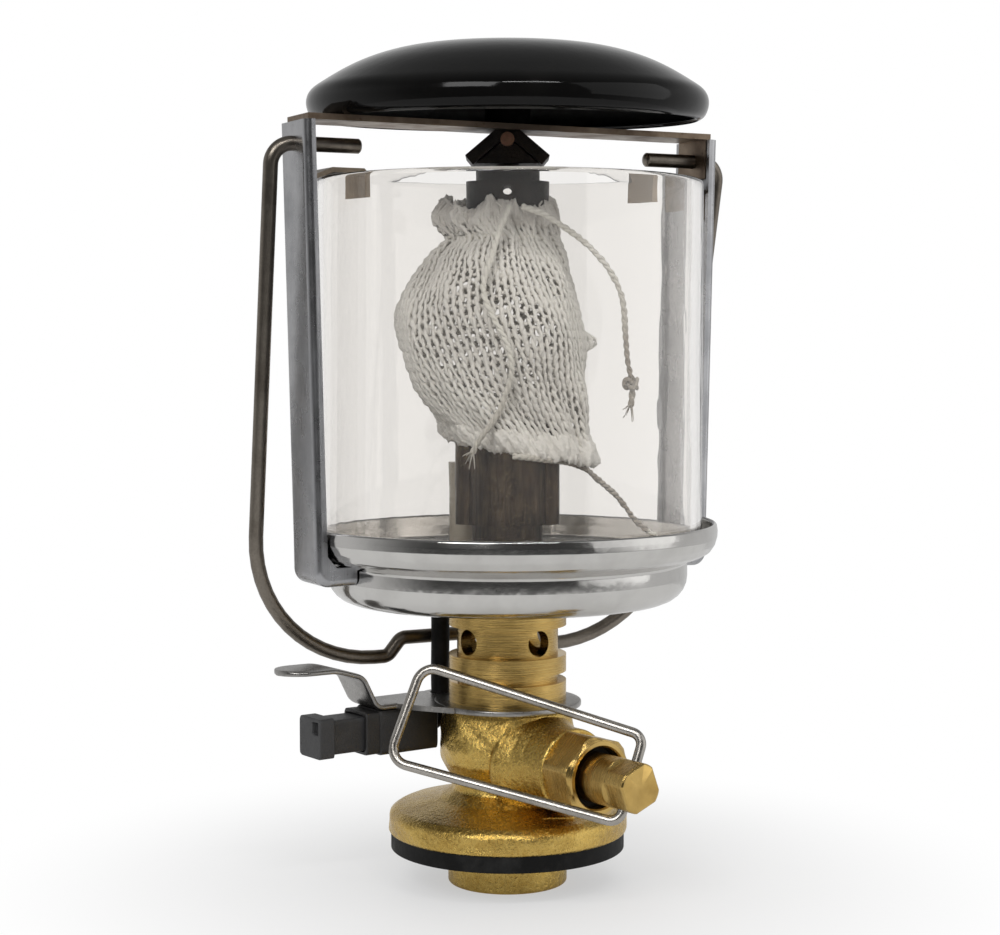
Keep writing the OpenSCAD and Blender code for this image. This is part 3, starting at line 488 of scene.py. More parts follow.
def yarn(name, clean, aged):
    """Spun yarn: plies twisted along its length, fuzzy, from clean to aged by the piece's own age value."""
    f = Finish(name, 0.0, Sheen_Weight=0.25, Sheen_Roughness=0.6)
    age = add(f.tree, "Attribute", attribute_name="age", attribute_type="GEOMETRY").outputs["Fac"]
    fuzz = f.clouds(1900, 0.3, 0.7)
    soil = f.clouds(160, 0.42, 0.72)
    worn = f.times(age, f.level(soil, 0.75, 1.25))
    base = f.mix(worn, clean, aged)
    base = f.mix(f.level(fuzz, 0.0, 0.28), base, tuple(0.72 * c for c in clean))
    return f.done(base, f.level(fuzz, 0.75, 0.95), f.bump(fuzz, 0.00012))


CAST, TURNED = cast_brass(), turned_brass()
TAP_BRASS = turned_brass("tap_brass", (9000, 40, 40), degrees=-TAP_TURN, at=(0, 0, TAP_HIGH))
WASHER, RUBBER = rubber("seal_rubber", (0.004, 0.004, 0.0038)), rubber("black_rubber", (0.007, 0.0065, 0.006))
# Near-black matte finish for the lining inside the lid: painted shade under the lid.
LID_SHADE_BLACK = rubber("soot", (0.0015, 0.0015, 0.0014))
BRIGHT = wire_steel("bright_steel", (0.46, 0.435, 0.40), (0.30, 0.28, 0.25), 0.24, 0.7)
DARK = wire_steel("dark_steel", (0.22, 0.195, 0.165), (0.12, 0.103, 0.083), 0.3)
ZINC, STRAP, CHROME = zinc_steel(), strap_steel(), chrome_plate()
PLATE = wire_steel("plate_steel", (0.38, 0.37, 0.355), (0.25, 0.24, 0.228), 0.26)
CLIP = wire_steel("clip_steel", (0.27, 0.22, 0.165), (0.17, 0.135, 0.10), 0.34)
# Dull brownish-grey finish laid over the inside of the pan.
PAN_LINING = wire_steel("pan_lining_plate", (0.33, 0.295, 0.25), (0.21, 0.18, 0.15), 0.45)
BURNT = burnt_steel("burnt_steel", (0.007, 0.006, 0.0052), (0.020, 0.0135, 0.009), (0.014, 0.014, 0.0155))
HOLDER = burnt_steel("holder_steel", (0.010, 0.0085, 0.0075), (0.024, 0.018, 0.0145), (0.018, 0.018, 0.0185))
FLAME_TUBE, GLASS = tube_steel(), clear_glass()
# Stoved enamel with a slight orange-peel, smoke-tinted glazed ceramic, and copper browned by heat
ENAMEL = mottled("black_enamel", (130, 0.5, 0.85), (0.0035, 0.0034, 0.0033), (0.006, 0.0056, 0.0052), (0.08, 0.18),
                 (420, 0.3, 0.7, 2), 0.000008, IOR=1.27)
CERAMIC = mottled("white_ceramic", (240, 0.42, 0.75), (0.36, 0.325, 0.265), (0.24, 0.20, 0.15), (0.25, 0.45),
                  (1800,), 0.00001)
COPPER = mottled("copper_rod", (320, 0.4, 0.7), (0.60, 0.33, 0.22), (0.26, 0.14, 0.09), (0.3, 0.5),
                 (320, 0.4, 0.7), 0.00003, 1.0)
HOUSING = plastic("black_plastic", (0.016, 0.0152, 0.0148), 0.36)
BUTTON = plastic("grey_plastic", (0.034, 0.034, 0.035), 0.42)
CLOTH = yarn("mantle_cloth", (0.83, 0.80, 0.745), (0.50, 0.46, 0.42))
CORD = yarn("tie_cord", (0.74, 0.71, 0.64), (0.21, 0.165, 0.12))

for names, finish in {
    "mixing_tube jet": TURNED, "gland_nut valve_spindle": TAP_BRASS, "valve_body inlet_filter": CAST,
    "seal_washer": WASHER, "inlet_seal gland_packing ignition_lead": RUBBER,
    "depressor_pin igniter_hammer hammer_spring valve_handle": BRIGHT,
    "igniter_bracket pan_lock_nut": PLATE, "bail": DARK, "base_pan": CHROME,
    "left_upright right_upright": ZINC, "left_glass_clip right_glass_clip": CLIP, "bridge_strap": STRAP,
    "heat_deflector burner_gauze": BURNT, "mantle_holder": HOLDER,
    "burner_tube burner_sleeve electrode_wire": FLAME_TUBE, "lid lid_post": ENAMEL, "glass_globe": GLASS,
    "electrode_insulator igniter_crystal": CERAMIC, "deflector_pin": COPPER, "igniter_body": HOUSING,
    "igniter_button": BUTTON, "mantle": CLOTH, "top_tie_tail_a top_tie_tail_b bottom_tie_tail": CORD,
}.items():
    for node in names.split():
        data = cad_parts[node].data
        data.materials.clear()
        data.materials.append(finish)


# Camera

lens = bpy.data.cameras.new("camera")
lens.sensor_fit, lens.sensor_width, lens.lens = "HORIZONTAL", 36, 74.59
lens.shift_x = -0.0075
camera = bpy.data.objects.new("camera", lens)
camera.location = (-0.17023, -0.32016, 0.09624)
camera.rotation_euler = (math.radians(90 - 3.62), 0, math.radians(VIEW))
scene.collection.objects.link(camera)
scene.camera = camera


# Tie cords: the routes are those of the solids

TIES = {
    "top_tie_tail_a": ([
        [-2.8, -10.9, 117.5], [-0.2, -11.8, 116.6], [3.6, -12.4, 114.6], [7.6, -12.8, 112], [11.2, -13, 109],
        [13.8, -13.2, 105.6], [15, -13.6, 102.4], [15.4, -13.8, 98.8], [15.6, -14, 95.4], [16, -14.2, 91.4],
        [16.6, -14.4, 88], [16.4, -14.4, 84.6]], "knot", lambda s: np.clip(2.6 * s - 1.05, 0, 1)),
    "top_tie_tail_b": ([
        [-5.2, -10.4, 117.5], [-7.8, -11.6, 113.4], [-9.6, -12.2, 109], [-11.2, -12.6, 104], [-10.2, -13.6, 99.8],
        [-8.2, -14.6, 95.6], [-7, -14.8, 91.4], [-7.4, -13.2, 86.4], [-9.2, -11.2, 81.4], [-10.6, -9.6, 78.8],
        [-11.2, -8.8, 77]], "bare", lambda s: np.clip(1.4 * s - 0.75, 0, 0.45)),
    "bottom_tie_tail": ([
        [-4.8, -11.6, 76.3], [-2.2, -12.2, 76], [1.2, -12.2, 75.6], [4.6, -11.6, 75.2], [7.6, -10.6, 74.6],
        [10.4, -9.8, 73.6], [13.4, -9.2, 71.6], [16.6, -9, 69.2], [19.4, -9.2, 66.2], [22.2, -9.6, 63.4],
        [24, -10.4, 62]], "bare", lambda s: np.clip(0.35 + 1.2 * s, 0, 1) * (s < 0.93) + 0.1 * (s >= 0.93)),
}


def frayed(at, way, count, long, seed):
    """Loose fibre ends: thin tapered tubes that leave one point, fan out from a direction and droop."""
    rng = np.random.default_rng(seed)
    s = np.linspace(0, 1, 6)[None, :, None]
    fan = unit(way + 0.55 * rng.normal(size=(count, 1, 3)))
    reach = long * rng.uniform(0.5, 1.0, (count, 1, 1))
    lines = at + fan * reach * s - Z * 0.35 * reach * s**2
    return [tube(line, 0.13 * (1 - 0.6 * s[0, :, 0]), [0.31, 0.9, 0.2], 5) for line in lines]


def tie_tail(name):
    """Tail of a tie cord: two plies wound round each other along the route, thinner towards the loose end."""
    points, far_end, ageing = TIES[name]
    count, twists = 180, 15
    line = spline(points, count)
    s = np.linspace(0, 1, count)
    t = unit(np.gradient(line, axis=0))
    side = unit(np.cross(t, [0, 1, 0]))
    up = np.cross(side, t)
    grids, ages = [], []
    for phase in (0, math.pi):
        turn = (TAU * twists * s + phase)[:, None]
        ply = line + 0.2 * (np.cos(turn) * side + np.sin(turn) * up)
        grids.append(tube(ply, 0.38 * (1 - 0.15 * s), [0, 1, 0], 8))
        ages.append(np.repeat(ageing(np.linspace(0, 1, len(grids[-1]))), 8))
    cord = piece(name + "_cord", grids, CORD, nodes=[name], sharp=80, age=np.concatenate(ages))
    ends = frayed(line[-1], t[-1], 9, 2.2, len(name))
    on_it = [piece(name + "_fray", ends, CORD, sharp=80, age=ageing(np.array(1.0)))]
    if far_end == "knot":
        a = turns(72)
        loop = np.stack([np.sin(a) + 2 * np.sin(2 * a), np.cos(a) - 2 * np.cos(2 * a), -1.2 * np.sin(3 * a)], -1)
        loop = np.array([16.6, -14.4, 88.2]) + loop * [0.42, 0.42, 0.62]
        t = way_round(loop)
        n = unit(np.roll(loop, -1, 0) + np.roll(loop, 1, 0) - 2 * loop)
        b = np.cross(t, n)
        c = turns(8)[:, None]
        ring = loop[:, None] + 0.45 * (np.cos(c) * n[:, None] + np.sin(c) * b[:, None])
        on_it.append(piece("tie_knot", [(ring, True, True)], CORD, sharp=80, age=0.85))


for tie in TIES:
    tie_tail(tie)


# Mantle

BAG = np.array([
    # height, left and right edge across the view, depth of the folds
    [118.0, -10.6, 6.4, 1.3], [116.3, -11.9, 6.7, 1.2], [114.4, -11.6, 7.0, 1.0], [112.7, -10.2, 7.3, 0.8],
    [110.6, -12.3, 8.6, 0.6], [107.6, -14.8, 10.2, 0.4], [104.0, -17.2, 11.6, 0.25], [99.6, -18.8, 12.8, 0.15],
    [95.2, -18.4, 13.3, 0.15], [90.4, -16.8, 12.9, 0.2], [86.2, -14.9, 12.9, 0.3], [82.4, -12.6, 13.5, 0.4],
    [79.2, -10.6, 14.4, 0.5], [77.0, -10.0, 15.2, 0.5]])
BAG_STEPS = np.linalg.norm(np.diff(BAG, axis=0), axis=1).cumsum()
NECK = BAG_STEPS[2] / BAG_STEPS[-1]
BAG_LINE = spline(BAG, 200)


def bag(turn, share):
    """Mantle surface: an ellipse whose edges across the view come from the stations, pleated where it is gathered,
    lower on the right at the hem, with a few soft lumps and one small peak on the right."""
    rows = np.arange(len(BAG_LINE))
    z, lo, hi, fold = [np.interp(np.clip(share, 0, 1) * rows[-1], rows, column) for column in BAG_LINE.T]
    mid, half = (lo + hi) / 2, (hi - lo) / 2
    deep = 0.5 * half + 0.5 * np.interp(share, [0, 0.2, 0.5, 0.8, 1], [8.6, 11.5, 14.6, 12.4, 10.4])
    pleat = waves(turn, share, (0.6, 0.4, 9, 5), (0.5, 2.0, 14, -7), (0.35, 1.0, 23, 9))
    lump = waves(turn, share, (0.35, 0.7, 3, 8), (0.3, 2.2, 5, -11), (0.2, 4.0, 8, 17))
    aside = np.angle(np.exp(1j * (turn + 0.12)))
    peak = 2.3 * np.exp(-((aside / 0.12) ** 2) - ((share - 0.575) / 0.022) ** 2)
    grow = fold * pleat + lump + peak
    u = mid + (half + grow) * np.cos(turn)
    w = (deep + grow) * np.sin(turn)
    low = np.clip((share - 0.72) / 0.28, 0, 1) ** 1.5
    top = np.clip((0.1 - share) / 0.1, 0, 1)
    z = z - low * 0.17 * (u - 1) + top * waves(turn, 0, (0.7, 0.3, 5, 0), (0.5, 1.3, 11, 0))
    return u[..., None] * ACROSS + w[..., None] * NEAR + z[..., None] * Z


def knit():
    """Plain knit carried on the bag: in each course the yarn swings up and down once a stitch, leans back on itself
    twice, and passes in front of and behind its neighbours; a six-sided tube follows it round."""
    wales, courses, steps, sides = 38, 26, 16, 6
    k = np.arange(wales * steps)
    phase = TAU * (k % steps) / steps
    row = np.arange(courses)[:, None]
    uneven = waves(row, k, (0.10, 0.3, 0.9, 0.05), (0.08, 1.9, 2.3, 0.021))
    climb = row + (0.86 + 0.6 * uneven) * np.cos(phase)
    turn = TAU * (k / steps + 0.16 * np.sin(2 * phase) + 0.5 * uneven) / wales - 0.022 * climb
    share = (climb + 0.75 + 0.5 * uneven) / (courses + 0.6)
    base = bag(turn, share)
    d = 1e-3
    out = unit(np.cross(bag(turn + d, share) - base, bag(turn, share + d) - base))
    out = out * np.sign((out * (base - base.mean((0, 1)))).sum(-1, keepdims=True))
    base = base - 0.28 * np.cos(2 * phase)[None, :, None] * out
    thick = 0.34 * (1 + 0.16 * waves(turn, share, (1, 0.5, 7, 31), (0.6, 1.5, 41, 11)))
    ring = around(base, way_round(base, 1), out, thick, sides)
    soot = np.clip(1.1 - 9 * share, 0, 0.75) + np.clip(0.25 * waves(turn, share, (1, 1.0, 2, 6)), 0, 0.3)
    age = np.repeat(soot[:, :, None], sides, 2)
    grids = [(ring[c], True, True) for c in range(courses)]
    return piece("mantle_knit", grids, CLOTH, nodes=["mantle"], sharp=180, age=age)


def rope_ring(name, centre, plies, twist, wind, thick, age):
    """Closed rope: each ply is wound round a closed line, twist times in one round."""
    a = turns(len(centre))
    t = way_round(centre)
    side = unit(np.cross(t, Z))
    up = np.cross(side, t)
    grids = []
    for ply in range(plies):
        f = (twist * a + TAU * ply / plies)[:, None]
        lump = 1 + waves(a, 0, (0.16, ply, 13, 0), (0.14, 2.0 + ply, 29, 0))
        line = centre + wind * lump[:, None] * (np.cos(f) * side + np.sin(f) * up)
        grids.append((around(line, way_round(line), Z + 0.1, thick * lump, 7), True, True))
    return piece(name, grids, CORD, sharp=180, age=age)


def felted(name, middle, half, thick, age):
    """Matted edge of the mantle: an oval section carried round the bag, reaching half of the bag's share up and down
    and thick millimetres in and out, with tufts from sines of the turn and of the place on the section. What lies
    past the bag's own edge goes straight on, at the bag's length of 44 mm to a share."""
    turn, c = np.meshgrid(turns(420), turns(22), indexing="ij")
    tuft = waves(turn, c, (0.30, 0.4, 23, 2), (0.28, 1.1, 41, -3), (0.24, 2.0, 67, 4), (0.2, 0.2, 103, -5),
                 (0.3, 2.7, 9, 1))
    share = middle + half * np.cos(c) * (1 + 0.3 * tuft)
    base = bag(turn, share)
    out = unit(base * [1, 1, 0] - base.mean((0, 1)) * [1, 1, 0])
    past = np.clip(np.abs(share - 0.5) - 0.5, 0, 1) * np.sign(share - 0.5)
    grid = base + (thick * np.sin(c) * (1 + 0.75 * tuft))[..., None] * out - (44 * past)[..., None] * Z
    return piece(name, [(grid, True, True)], CLOTH, sharp=180, age=age)


def top_fray():
    """Frayed upper edge of the mantle: short yarn ends that stand up and out from the gathered edge."""
    rng = np.random.default_rng(5)
    count = 120
    turn = turns(count) + rng.normal(size=count) * 0.02
    foot, lower = bag(turn, np.full(count, 0.02)), bag(turn, np.full(count, 0.06))
    way = unit(unit(foot - lower) + 0.7 * rng.normal(size=(count, 3)))
    s = np.linspace(0, 1, 5)[None, :, None]
    reach = rng.uniform(0.4, 1.3, (count, 1, 1))
    curl = unit(rng.normal(size=(count, 1, 3)))
    lines = foot[:, None] + way[:, None] * reach * s + 0.4 * curl * reach * s**2
    grids = [tube(line, 0.2 - 0.07 * s[0, :, 0], [0.3, 0.8, 0.1], 5) for line in lines]
    return piece("mantle_fray", grids, CLOTH, sharp=180, age=0.5)


mantle = knit()
hem = felted("mantle_hem", 0.965, 0.045, 0.75, 0.08)
ruffle = felted("mantle_ruffle", 0.035, 0.045, 0.7, 0.55)
gather = rope_ring("mantle_tie", bag(turns(300), np.full(300, NECK)) * [0.99, 0.99, 1], 2, 34, 0.24, 0.3, 0.1)
fray = top_fray()


# Bent wires

def flat_wire(points, radii, origin, x, y, thick, step=0.5):
    """Wire bent in one plane: straight runs joined by arcs, then a round section carried along them."""
    line = spread(rounded(points, radii, 14), step)
    route = origin + line[:, :1] * x + line[:, 1:2] * y
    return tube(route, thick / 2, np.cross(x, y), 20, 0.35)


def bail():
    """Carrying wire: two pins, two legs that lean in, wide corners and a middle bar set off by a jog."""
    half = [[28.3, 0], [43.8, 0], [41.9, -90.5], [15.8, -90.5], [13.4, -87.2]]
    points = half + [[-x, y] for x, y in half[::-1]]
    radii = [3.5, 24, 1.8, 1.8, 1.8, 1.8, 24, 3.5]
    lean, hinge = math.radians(10.3), 127.977 * Z
    grid = flat_wire(points, radii, hinge, (1, 0, 0), (0, -math.sin(lean), math.cos(lean)), 2.5)
    return piece("bail_wire", [grid], DARK, "carrier", ["bail"])


def tap_handle():
    """Tap handle: a slanted wire loop whose two ends turn in to the spindle's cross hole."""
    long, hinge = np.array([-0.7125, 0.6627, 0.2303]), np.array([0.353956, 0.056061, 0.93358])
    points = [[0, 2.0], [0, 8.5], [39.5, 9.7], [40.5, -7.3], [0, -6.3], [0, 0.2]]
    grid = flat_wire(points, [2, 3, 3, 2], (5.2093, -32.890, TAP_HIGH), long, hinge, 1.7, 0.4)
    return piece("handle_wire", [grid], BRIGHT, "tap_handle", ["valve_handle"])


def lead():
    """Ignition lead: a sleeved cable on a smooth line from the igniter through the pan to the ceramic."""
    line = spline([
        [-10.96, 10.48, 27.4], [-10.17, 10.59, 27.4], [-8.9, 10.9, 27.9], [-7.9, 11.5, 29], [-7.3, 12, 30.4],
        [-7.2, 12.2, 32.4], [-7.2, 12.2, 41.2], [-7.2, 12.2, 50.2], [-6.8, 12.2, 53.4], [-5, 12.2, 56],
        [-3.3, 12.2, 57.8], [-2.8, 12.2, 58.3], [-2.8, 12.2, 59]], 140)
    cable = tube(line, 1.65, [1, -1, 0.2], 20, 0.2)
    return piece("lead_cable", [cable], RUBBER, nodes=["ignition_lead"])


def spark_wire():
    """Spark wire: bent from the ceramic's tip towards the burner's mouth."""
    line = spline([
        [-2.8, 12.2, 73.6], [-2.8, 12.2, 75], [-2.6, 11, 75.8], [-2.2, 9, 76.1], [-2, 8.2, 77], [-1.9, 8.2, 80]], 60)
    wire = tube(line, 0.5, [1, 0, 0], 12)
    return piece("spark_wire", [wire], FLAME_TUBE, nodes=["electrode_wire"])


bail(), tap_handle(), lead(), spark_wire()


# Lathed shells

LID_HIGH, LID_NOD = 133.48, math.radians(2.4)


def soft_loop(outline, radii):
    """Closed outline whose corners become arcs of the given radii."""
    loop = np.asarray(outline, float)
    return rounded(np.concatenate([loop[-1:], loop, loop[:1]]), radii, 6)[1:-1]


def shell(name, outline, radii, finish, nodes, sides, sharp=50):
    """Closed profile with softened corners turned round the axis."""
    grid = lathe(spread(soft_loop(outline, radii), 2.0), sides)
    return piece(name, [(grid, True, True)], finish, nodes=nodes, sharp=sharp)


def globe():
    """Glass cylinder with fire-polished rims."""
    wall = [[32, 59.02], [34, 59.02], [34, 123.08], [32, 123.08]]
    return shell("globe_glass", wall, 0.8, GLASS, ["glass_globe"], 256)


def lid():
    """Lid: a lip turned in at the bottom, a round shoulder and a flattening dome, all on one smooth line, and a matte
    near-black lining inside it that is painted shade.
    """
    line = spline([[33.0, 0.0], [33.9, 0.5], [34.55, 1.6], [34.8, 3.0], [34.5, 4.3], [33.8, 5.25], [32.5, 6.2],
                   [30.4, 7.5], [27, 9.35], [22, 11.3], [16, 12.65], [8, 13.3], [0, 13.4]], 90)
    way = unit(np.gradient(line, axis=0))
    inner = line - 0.9 * np.stack([way[:, 1], -way[:, 0]], -1)
    inner[:, 0] = np.maximum(inner[:, 0], 0)
    inner[-1, 0] = 0
    lip = rounded([inner[0], inner[0] - [0, 0.25], line[0] - [0, 0.02], line[0]], 0.12, 4)[1:-1]
    dome = nodded(lathe(np.concatenate([line, inner[::-1], lip]), 192))
    piece("lid_shell", [(dome, True, True)], ENAMEL, nodes=["lid"], sharp=60)
    # Thin matte near-black lining just inside the dome: painted shade under the lid.
    shade_skin = np.concatenate([inner[1:] * [0.998, 1] - [0, 0.05], (inner[1:] * [0.994, 1] - [0, 0.25])[::-1]])
    piece("lid_shade_lining", [(nodded(lathe(shade_skin, 128)), True, True)], LID_SHADE_BLACK, sharp=60)


def nodded(grid):
    """Lid grid set on its post, nodding forward about the line across the view."""
    w, z = grid @ NEAR, grid[..., 2]
    out = w * math.cos(LID_NOD) + z * math.sin(LID_NOD)
    high = z * math.cos(LID_NOD) - w * math.sin(LID_NOD) + LID_HIGH
    return (grid @ ACROSS)[..., None] * ACROSS + out[..., None] * NEAR + high[..., None] * Z


def pan():
    """Pressed pan: flat floor, round lower corner, wall, ledge, a rim that curls up to its lip, and a dull
    brownish-grey lining inside.
    """
    outer = [[8.1, 50.2], [31.5, 50.2], [31.5, 57.2], [33.0, 58.2], [34.3, 58.3], [35.5, 59.0], [36.3, 60.2],
             [36.7, 61.6], [36.75, 62.6], [36.6, 63.6], [36.3, 63.95], [35.8, 63.6]]
    inner = [[35.7, 62.0], [35.4, 60.2], [34.4, 59.0], [31.0, 59.0], [30.7, 57.8], [30.7, 51.0], [8.1, 51.0]]
    radii = [0.1, 4.5, 0.7, 0.6, 0.8, 1.2, 1.4, 1.4, 0.8, 0.4, 0.2, 0.2, 0.8, 0.8, 0.8, 0.5, 0.5, 3.7, 0.1]
    shell("pan_shell", outer + inner, radii, CHROME, ["base_pan"], 224, 60)
    # Dull brownish-grey lining over the inner floor and the foot of the wall.
    lining_outline = [[8.4, 51.02], [30.6, 51.02], [30.6, 58.4], [30.45, 58.4], [30.45, 51.2], [8.4, 51.2]]
    shell("pan_lining", lining_outline, [0, 3.6, 0, 0, 3.45, 0], PAN_LINING, (), 128, 60)


globe(), lid(), pan()


# Cast valve

def on_tap(grid):
    """Grid lathed round Z, laid along the tap's axis."""
    return placed(grid, TAP_HIGH * Z, TAP_SIDE, Z, TAP)


def valve():
    """Sand casting: threaded spigot, domed flange, waisted neck and round body with a flat facet cut in its front,
    the tap's arm, which flares into the body, and a small bar on the flange."""
    z = np.arange(0.9, 6.9, 0.4)
    thread = np.stack([5.1 + 0.42 * (np.arange(len(z)) % 2), z], -1)[::-1]
    outline = np.concatenate([
        [[1.5, 30], [1.5, 9.0], [4.3, 9.0], [4.3, 7.0], [5.1, 7.0]], thread,
        [[5.7, 0], [10.5, 0], [10.5, 9.2], [21, 9.2], [21, 12.6], [19.6, 13.6], [12.4, 15.2], [9.8, 16.9], [9.7, 18.7],
         [11.7, 22.0], [11.95, 24.5], [11.8, 27.5], [11.2, 31.4], [6.5, 31.4], [6.5, 30]]])
    radii = [0] * (5 + len(thread)) + [0, 0.5, 0.2, 0.5, 1.6, 1.6, 2.6, 0.9, 0.9, 2, 2, 2, 0.7, 0.2, 0]
    body = lathe(spread(soft_loop(outline, radii), 0.5), 240)
    turn = np.arctan2(body[..., 1], body[..., 0])
    high = body[..., 2]
    flat = 9.9 + 0.34 * (31.4 - high)
    facet = math.radians(-143)
    limit = flat / np.maximum(np.cos(turn - facet), 0.2)
    far = np.hypot(body[..., 0], body[..., 1])
    cut = np.where((high > 24) & (far > 8), np.minimum(far, limit), far)
    rough = waves(turn, high, (0.10, 0.4, 5, 0.9), (0.07, 1.7, 9, -1.3), (0.05, 3.0, 17, 2.1))
    cut = cut + rough * ((far > 9.5) & (high > 9.5) & (high < 31)) * 0.8
    body[..., :2] *= (cut / np.maximum(far, 1e-6))[..., None]
    arm = np.array([[3.0, 6], [10.8, 6.0], [9.4, 8.8], [8.2, 11.2], [7.5, 13.6], [7.25, 16], [7.25, 19], [3.0, 19]])
    arm = on_tap(lathe(spread(rounded(arm, [2, 3, 3, 2, 0, 0.5], 6), 0.6), 120))
    bar = superbox((3.3, 0.75, 0.8), 5, 24)
    foot = placed(bar, (0.9, -15.8, 13.75), unit(ACROSS - 0.25 * NEAR), NEAR, unit(Z + 0.2 * heading(-60)))
    grids = [(body, True, True), arm, foot]
    return piece("valve_casting", grids, CAST, nodes=["valve_body"], sharp=50)


def superbox(half, power, n):
    """Rounded block: a superellipsoid, whose power sets how tight its edges are."""
    a = np.linspace(-math.pi / 2, math.pi / 2, n)[:, None]
    b = turns(2 * n)[None]
    wide, high = squared(np.cos(a), power), squared(np.sin(a), power) + 0 * b
    return np.stack([wide * squared(np.cos(b), power), wide * squared(np.sin(b), power), high], -1) * half


def hex_nut():
    """Gland nut: hexagon whose corners are turned off by a cone at the outer face, with a bored recess."""
    a = turns(240)
    half_flats, corner = 6.5, 7.3
    hexagon = half_flats / np.cos((a + TAU / 24) % (TAU / 6) - TAU / 12)
    far = np.array([18.95, 19.25, 20.5, 22, 23.5, 24.6, 25.2, 25.6, 25.8])[:, None]
    outer = np.minimum(hexagon, corner - 1.5 * np.clip(far - 25.0, 0, 1) - 0.8 * np.clip(19.25 - far, 0, 1))
    face = np.array([[6.1, 25.8], [5.5, 25.8], [5.25, 25.5], [5.25, 21.6], [4.3, 21.5], [4.3, 19]])
    rows = np.concatenate([outer, face[:, :1] + 0 * a[None]])
    grids = [(on_tap(swept(rows, np.concatenate([far, face[:, 1:]]), a)), True, True)]
    return piece("gland_hex", grids, TAP_BRASS, nodes=["gland_nut"], sharp=28)


def spindle():
    """Tap spindle: a turned rod with four flats milled at its end, corners left round."""
    a = turns(160)
    turn, rod, milled, half_flats = math.radians(21), 4.2, 31.2, 3.62
    far = [np.linspace(15.5, milled, 24), np.linspace(31.3, 35.7, 14), [35.95, 36.1, 36.2, 36.2]]
    far = np.concatenate(far)[:, None]
    square = half_flats / np.maximum(np.abs(np.cos(a - turn)), np.abs(np.sin(a - turn)))
    end = np.clip((far - milled) / 0.6, 0, 1)
    r = (1 - end) * rod + end * np.minimum(rod, square)
    r = r * np.concatenate([np.ones(38), [0.985, 0.95, 0.9, 0.0]])[:, None]
    r[0] = 0
    grids = [on_tap(swept(r, far, a))]
    return piece("tap_spindle", grids, TAP_BRASS, "tap", ["valve_spindle"], sharp=28)


valve(), hex_nut(), spindle()


# Frame

def channel(name, side):
    """Upright: a web and foot bent from one strip, with both long edges folded in round a soft bend; the section runs
    from flange edge to flange edge, and its copy one sheet thickness further in closes it."""
    toe, tall, out_by, low = -7.1, 77, 38.3, 54.6
    line = rounded([[toe, 0], [0, 0], [0, tall]], [2.4], 12)
    line = np.concatenate([np.linspace(line[0], line[1], 8)[:-1], line[1:-1], np.linspace(line[-2], line[-1], 40)[1:]])
    step = np.arange(len(line))
    foot, corner, above = 7, 19, 22
    keys = [0, foot, corner, above, len(line) - 1]
    edge_x = np.interp(step, keys, [toe, -3.5, -1.9, -1.9, -1.9])
    edge = np.stack([edge_x, np.interp(step, keys, [3.2, 3.2, 5.2, line[above, 1] + 1.5, tall])], -1)
    deep = np.linalg.norm(edge - line, axis=1)[:, None]
    into = (edge - line) / deep
    f = np.linspace(0, math.pi / 2, 9)
    half, bend, sheet = 5.5, 1.25, 0.95
    wide = np.concatenate([np.full(4, -half), -half + bend * (1 - np.cos(f)), np.linspace(-4, 0, 5)])
    wide = np.concatenate([wide, -wide[-2::-1]])
    drop = [bend + (deep - bend) * np.linspace(1, 0.1, 4), bend * (1 - np.sin(f)) + 0 * deep, np.zeros((len(line), 5))]
    drop = np.concatenate(drop, 1)
    drop = np.concatenate([drop, drop[:, -2::-1]], 1)
    flat = line[:, None] + drop[..., None] * into[:, None]
    lean = math.radians(1.4)
    x = out_by + flat[..., 0] * math.cos(lean) + flat[..., 1] * math.sin(lean)
    z = low - flat[..., 0] * math.sin(lean) + flat[..., 1] * math.cos(lean)
    outer = np.stack([side * x, wide + 0 * x, z], -1)
    out = unit(np.cross(np.gradient(outer, axis=0), np.gradient(outer, axis=1)))
    out = out * np.sign(out[30, 17, 0] * side)
    inner = outer - sheet * out
    grids = [np.concatenate([outer, inner[:, ::-1]], 1)]
    grids += [(np.stack([outer[k], inner[k]]), False, False) for k in (0, -1)]
    return piece(name + "_channel", grids, ZINC, nodes=[name], sharp=40)


def prism(outline, x, y, half):
    """Convex outline drawn on two directions and carried half a length each way, closed at both ends."""
    q = np.asarray(outline, float)
    ring = q[:, :1] * x + q[:, 1:] * y
    mid = np.repeat(ring.mean(0, keepdims=True), len(q), 0)
    return np.stack([mid - half, ring - half, ring + half, mid + half])


def deflector():
    """Heat deflector: two thick sloping plates and a narrow ridge plate over a dark core set back from the ends."""
    way, over, top = heading(62), heading(152), 131.63 * Z
    right = [[2.1, 0], [0.74, -1.6], [5.94, -6.0], [7.3, -4.4]]
    left = [[-x, z] for x, z in right[::-1]]
    ridge = [[-2.1, 0], [-0.74, -1.6], [0.74, -1.6], [2.1, 0]]
    core = [[0, -1.0], [-5.5, -5.7], [5.5, -5.7]]
    plates = ((right, 5.0), (left, 5.0), (ridge, 5.0), (core, 4.1))
    grids = [prism(outline, over, Z, half * way) + top for outline, half in plates]
    roof = piece("deflector_roof", grids, BURNT, nodes=["heat_deflector"], sharp=30)
    edge = roof.modifiers.new("edge", "BEVEL")
    edge.width, edge.segments, edge.limit_method = 0.00015, 2, "ANGLE"
    return roof


channel("left_upright", -1), channel("right_upright", 1), deflector()


# Igniter

BRACKET_HIGH, LEAD_AT = 31.9, np.array([-7.2, 12.2, 0.0])


